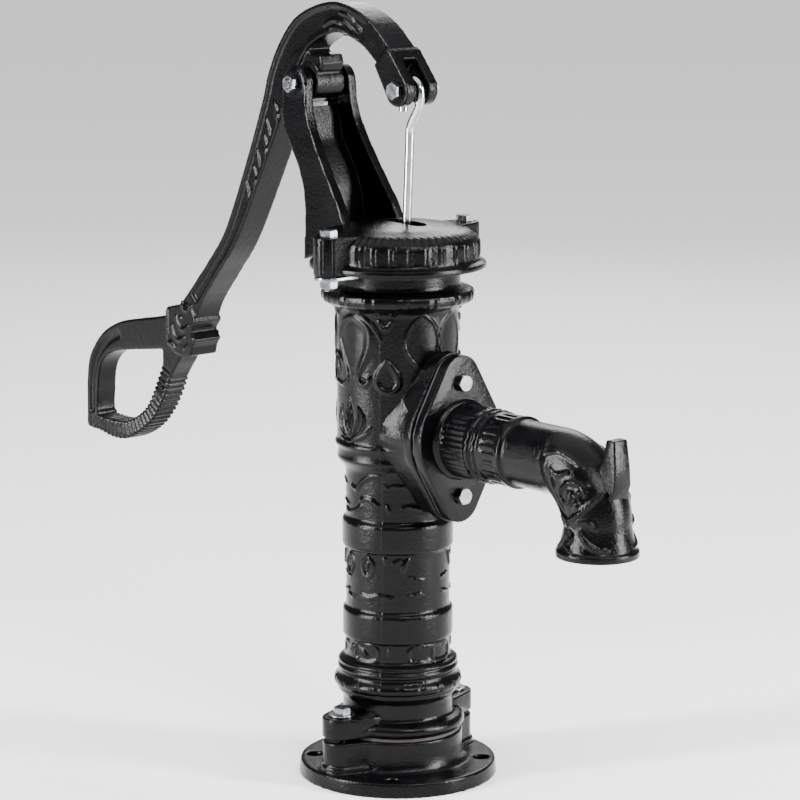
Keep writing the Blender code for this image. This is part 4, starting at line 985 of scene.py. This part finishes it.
def makeRod(form):
    px, pz = form["pin"]
    front = px + form["hook"]
    bend = [(px - form["hook"], pz - 16)] + arc(px, pz, form["hook"], 180, 0, 24)
    crank = curveOutline([(front, pz - 4), (front - 2.2, pz - 12), (front - 8, pz - 21), (15.6, pz - 29),
                          (14.9, pz - 40)], 6)
    path = bend + crank + [form["foot"]]
    curve = bpy.data.curves.new("rodLine", "CURVE")
    curve.dimensions = "3D"
    curve.bevel_depth = form["radius"] * mm
    curve.bevel_resolution = form["sides"]
    curve.use_fill_caps = True
    spline = curve.splines.new("POLY")
    spline.points.add(len(path) - 1)
    for point, (x, z) in zip(spline.points, path):
        point.co = (x * mm, 0, z * mm, 1)
    rod = bpy.data.objects.new("rodBar", curve)
    bpy.context.scene.collection.objects.link(rod)
    selectOnly(rod)
    bpy.ops.object.convert(target="MESH")
    rod = bpy.context.object
    bpy.ops.object.mode_set(mode="EDIT")
    bpy.ops.mesh.select_all(action="SELECT")
    bpy.ops.mesh.remove_doubles(threshold=0.001 * mm)
    bpy.ops.mesh.normals_make_consistent(inside=False)
    bpy.ops.object.mode_set(mode="OBJECT")
    return finishPiece(rod, "pump_rod", rodSteel, "rod", ["rod"], 60)


makeRod(rodForm)


# The inside pieces stay as they are and take their own metals, leather and rubber

carried = {"base_gasket": leather, "foot_valve_flap": leather, "plunger_cup_leather": leather,
           "spout_gasket": rubber, "foot_valve_weight": rawIron, "plunger_follower": rawIron,
           "plunger_cage": brass, "plunger_valve": brass, "foot_valve_screw": zinc, "foot_valve_washer": zinc,
           "foot_valve_nut": zinc, "rod_nut": zinc}
for node, material in carried.items():
    piece = frame["nodes"][node]
    piece.data.materials.clear()
    piece.data.materials.append(material)
print("inner pieces finished")


# Studio: pale floor, soft lights and the camera

studio = {"floor": "#f7f7f5", "floorSize": 60.0, "ambient": 0.3, "sky": "#e9eef2",
          "lens": 143.3, "camera": (1.9648, -1.7285, 0.8149), "pitch": 10.69, "heading": 48.62,
          "canopy": 2.5, "canopySpread": 80,
          # name, place, aim, width and height in metres, watts
          "softboxes": [("leftSoftbox", (-0.75, -2.1, 0.9), (0, 0, 0.3), (0.34, 1.7), 190),
                        ("rightSoftbox", (1.9, 1.1, 0.9), (0, 0, 0.3), (0.34, 1.7), 175),
                        ("frontSoftbox", (2.0, -0.5, 2.1), (0, 0, 0.45), (0.6, 0.6), 45),
                        ("backSoftbox", (-1.6, 1.9, 1.7), (0, 0, 0.4), (1.2, 1.2), 30)]}


def softLight(name, at, aim, size, power):
    light = bpy.data.lights.new(name, "AREA")
    light.shape = "RECTANGLE"
    light.size, light.size_y = size
    light.energy = power
    lamp = bpy.data.objects.new(name, light)
    bpy.context.scene.collection.objects.link(lamp)
    lamp.location = at
    lamp.rotation_euler = (Vector(aim) - Vector(at)).to_track_quat("-Z", "Y").to_euler()
    return lamp


def makeStudio(form):
    bpy.ops.object.select_all(action="DESELECT")
    bpy.ops.mesh.primitive_plane_add(size=form["floorSize"], location=(0, 0, 0))
    floor = bpy.context.object
    floor.name = "studioFloor"
    paper, tree, shader = newMaterial("whitePaper", {"Roughness": 0.9, "Base Color": hexColour(form["floor"])})
    place = addNode(tree, "ShaderNodeTexCoord", {})
    fibre = addNode(tree, "ShaderNodeTexNoise", {"Scale": perMetre(3.0)}, [("Vector", place, "Object")])
    tooth = addNode(tree, "ShaderNodeBump", {"Strength": 0.05, "Distance": 0.1 * mm}, [("Height", fibre, "Fac")])
    tree.links.new(tooth.outputs["Normal"], shader.inputs["Normal"])
    floor.data.materials.append(paper)
    # tall narrow boxes either side draw the bright streaks down the castings
    for name, at, aim, panel, watts in form["softboxes"]:
        softLight(name, at, aim, panel, watts)
    sky = bpy.data.lights.new("overheadCanopy", "SUN")
    sky.energy = form["canopy"]
    sky.angle = math.radians(form["canopySpread"])
    canopy = bpy.data.objects.new("overheadCanopy", sky)
    bpy.context.scene.collection.objects.link(canopy)
    canopy.location = (0, 0, 3)
    world = bpy.data.worlds.new("studioAir")
    bpy.context.scene.world = world
    world.use_nodes = True
    world.node_tree.nodes["Background"].inputs["Color"].default_value = hexColour(form["sky"])
    world.node_tree.nodes["Background"].inputs["Strength"].default_value = form["ambient"]
    camera = bpy.data.cameras.new("studioCamera")
    camera.lens = form["lens"]
    camera.sensor_width = 36.0
    camera.clip_start, camera.clip_end = 0.1, 100.0
    holder = bpy.data.objects.new("studioCamera", camera)
    bpy.context.scene.collection.objects.link(holder)
    holder.location = form["camera"]
    holder.rotation_euler = (math.radians(90 - form["pitch"]), 0, math.radians(form["heading"]))
    bpy.context.scene.camera = holder


makeStudio(studio)
print("studio ready")
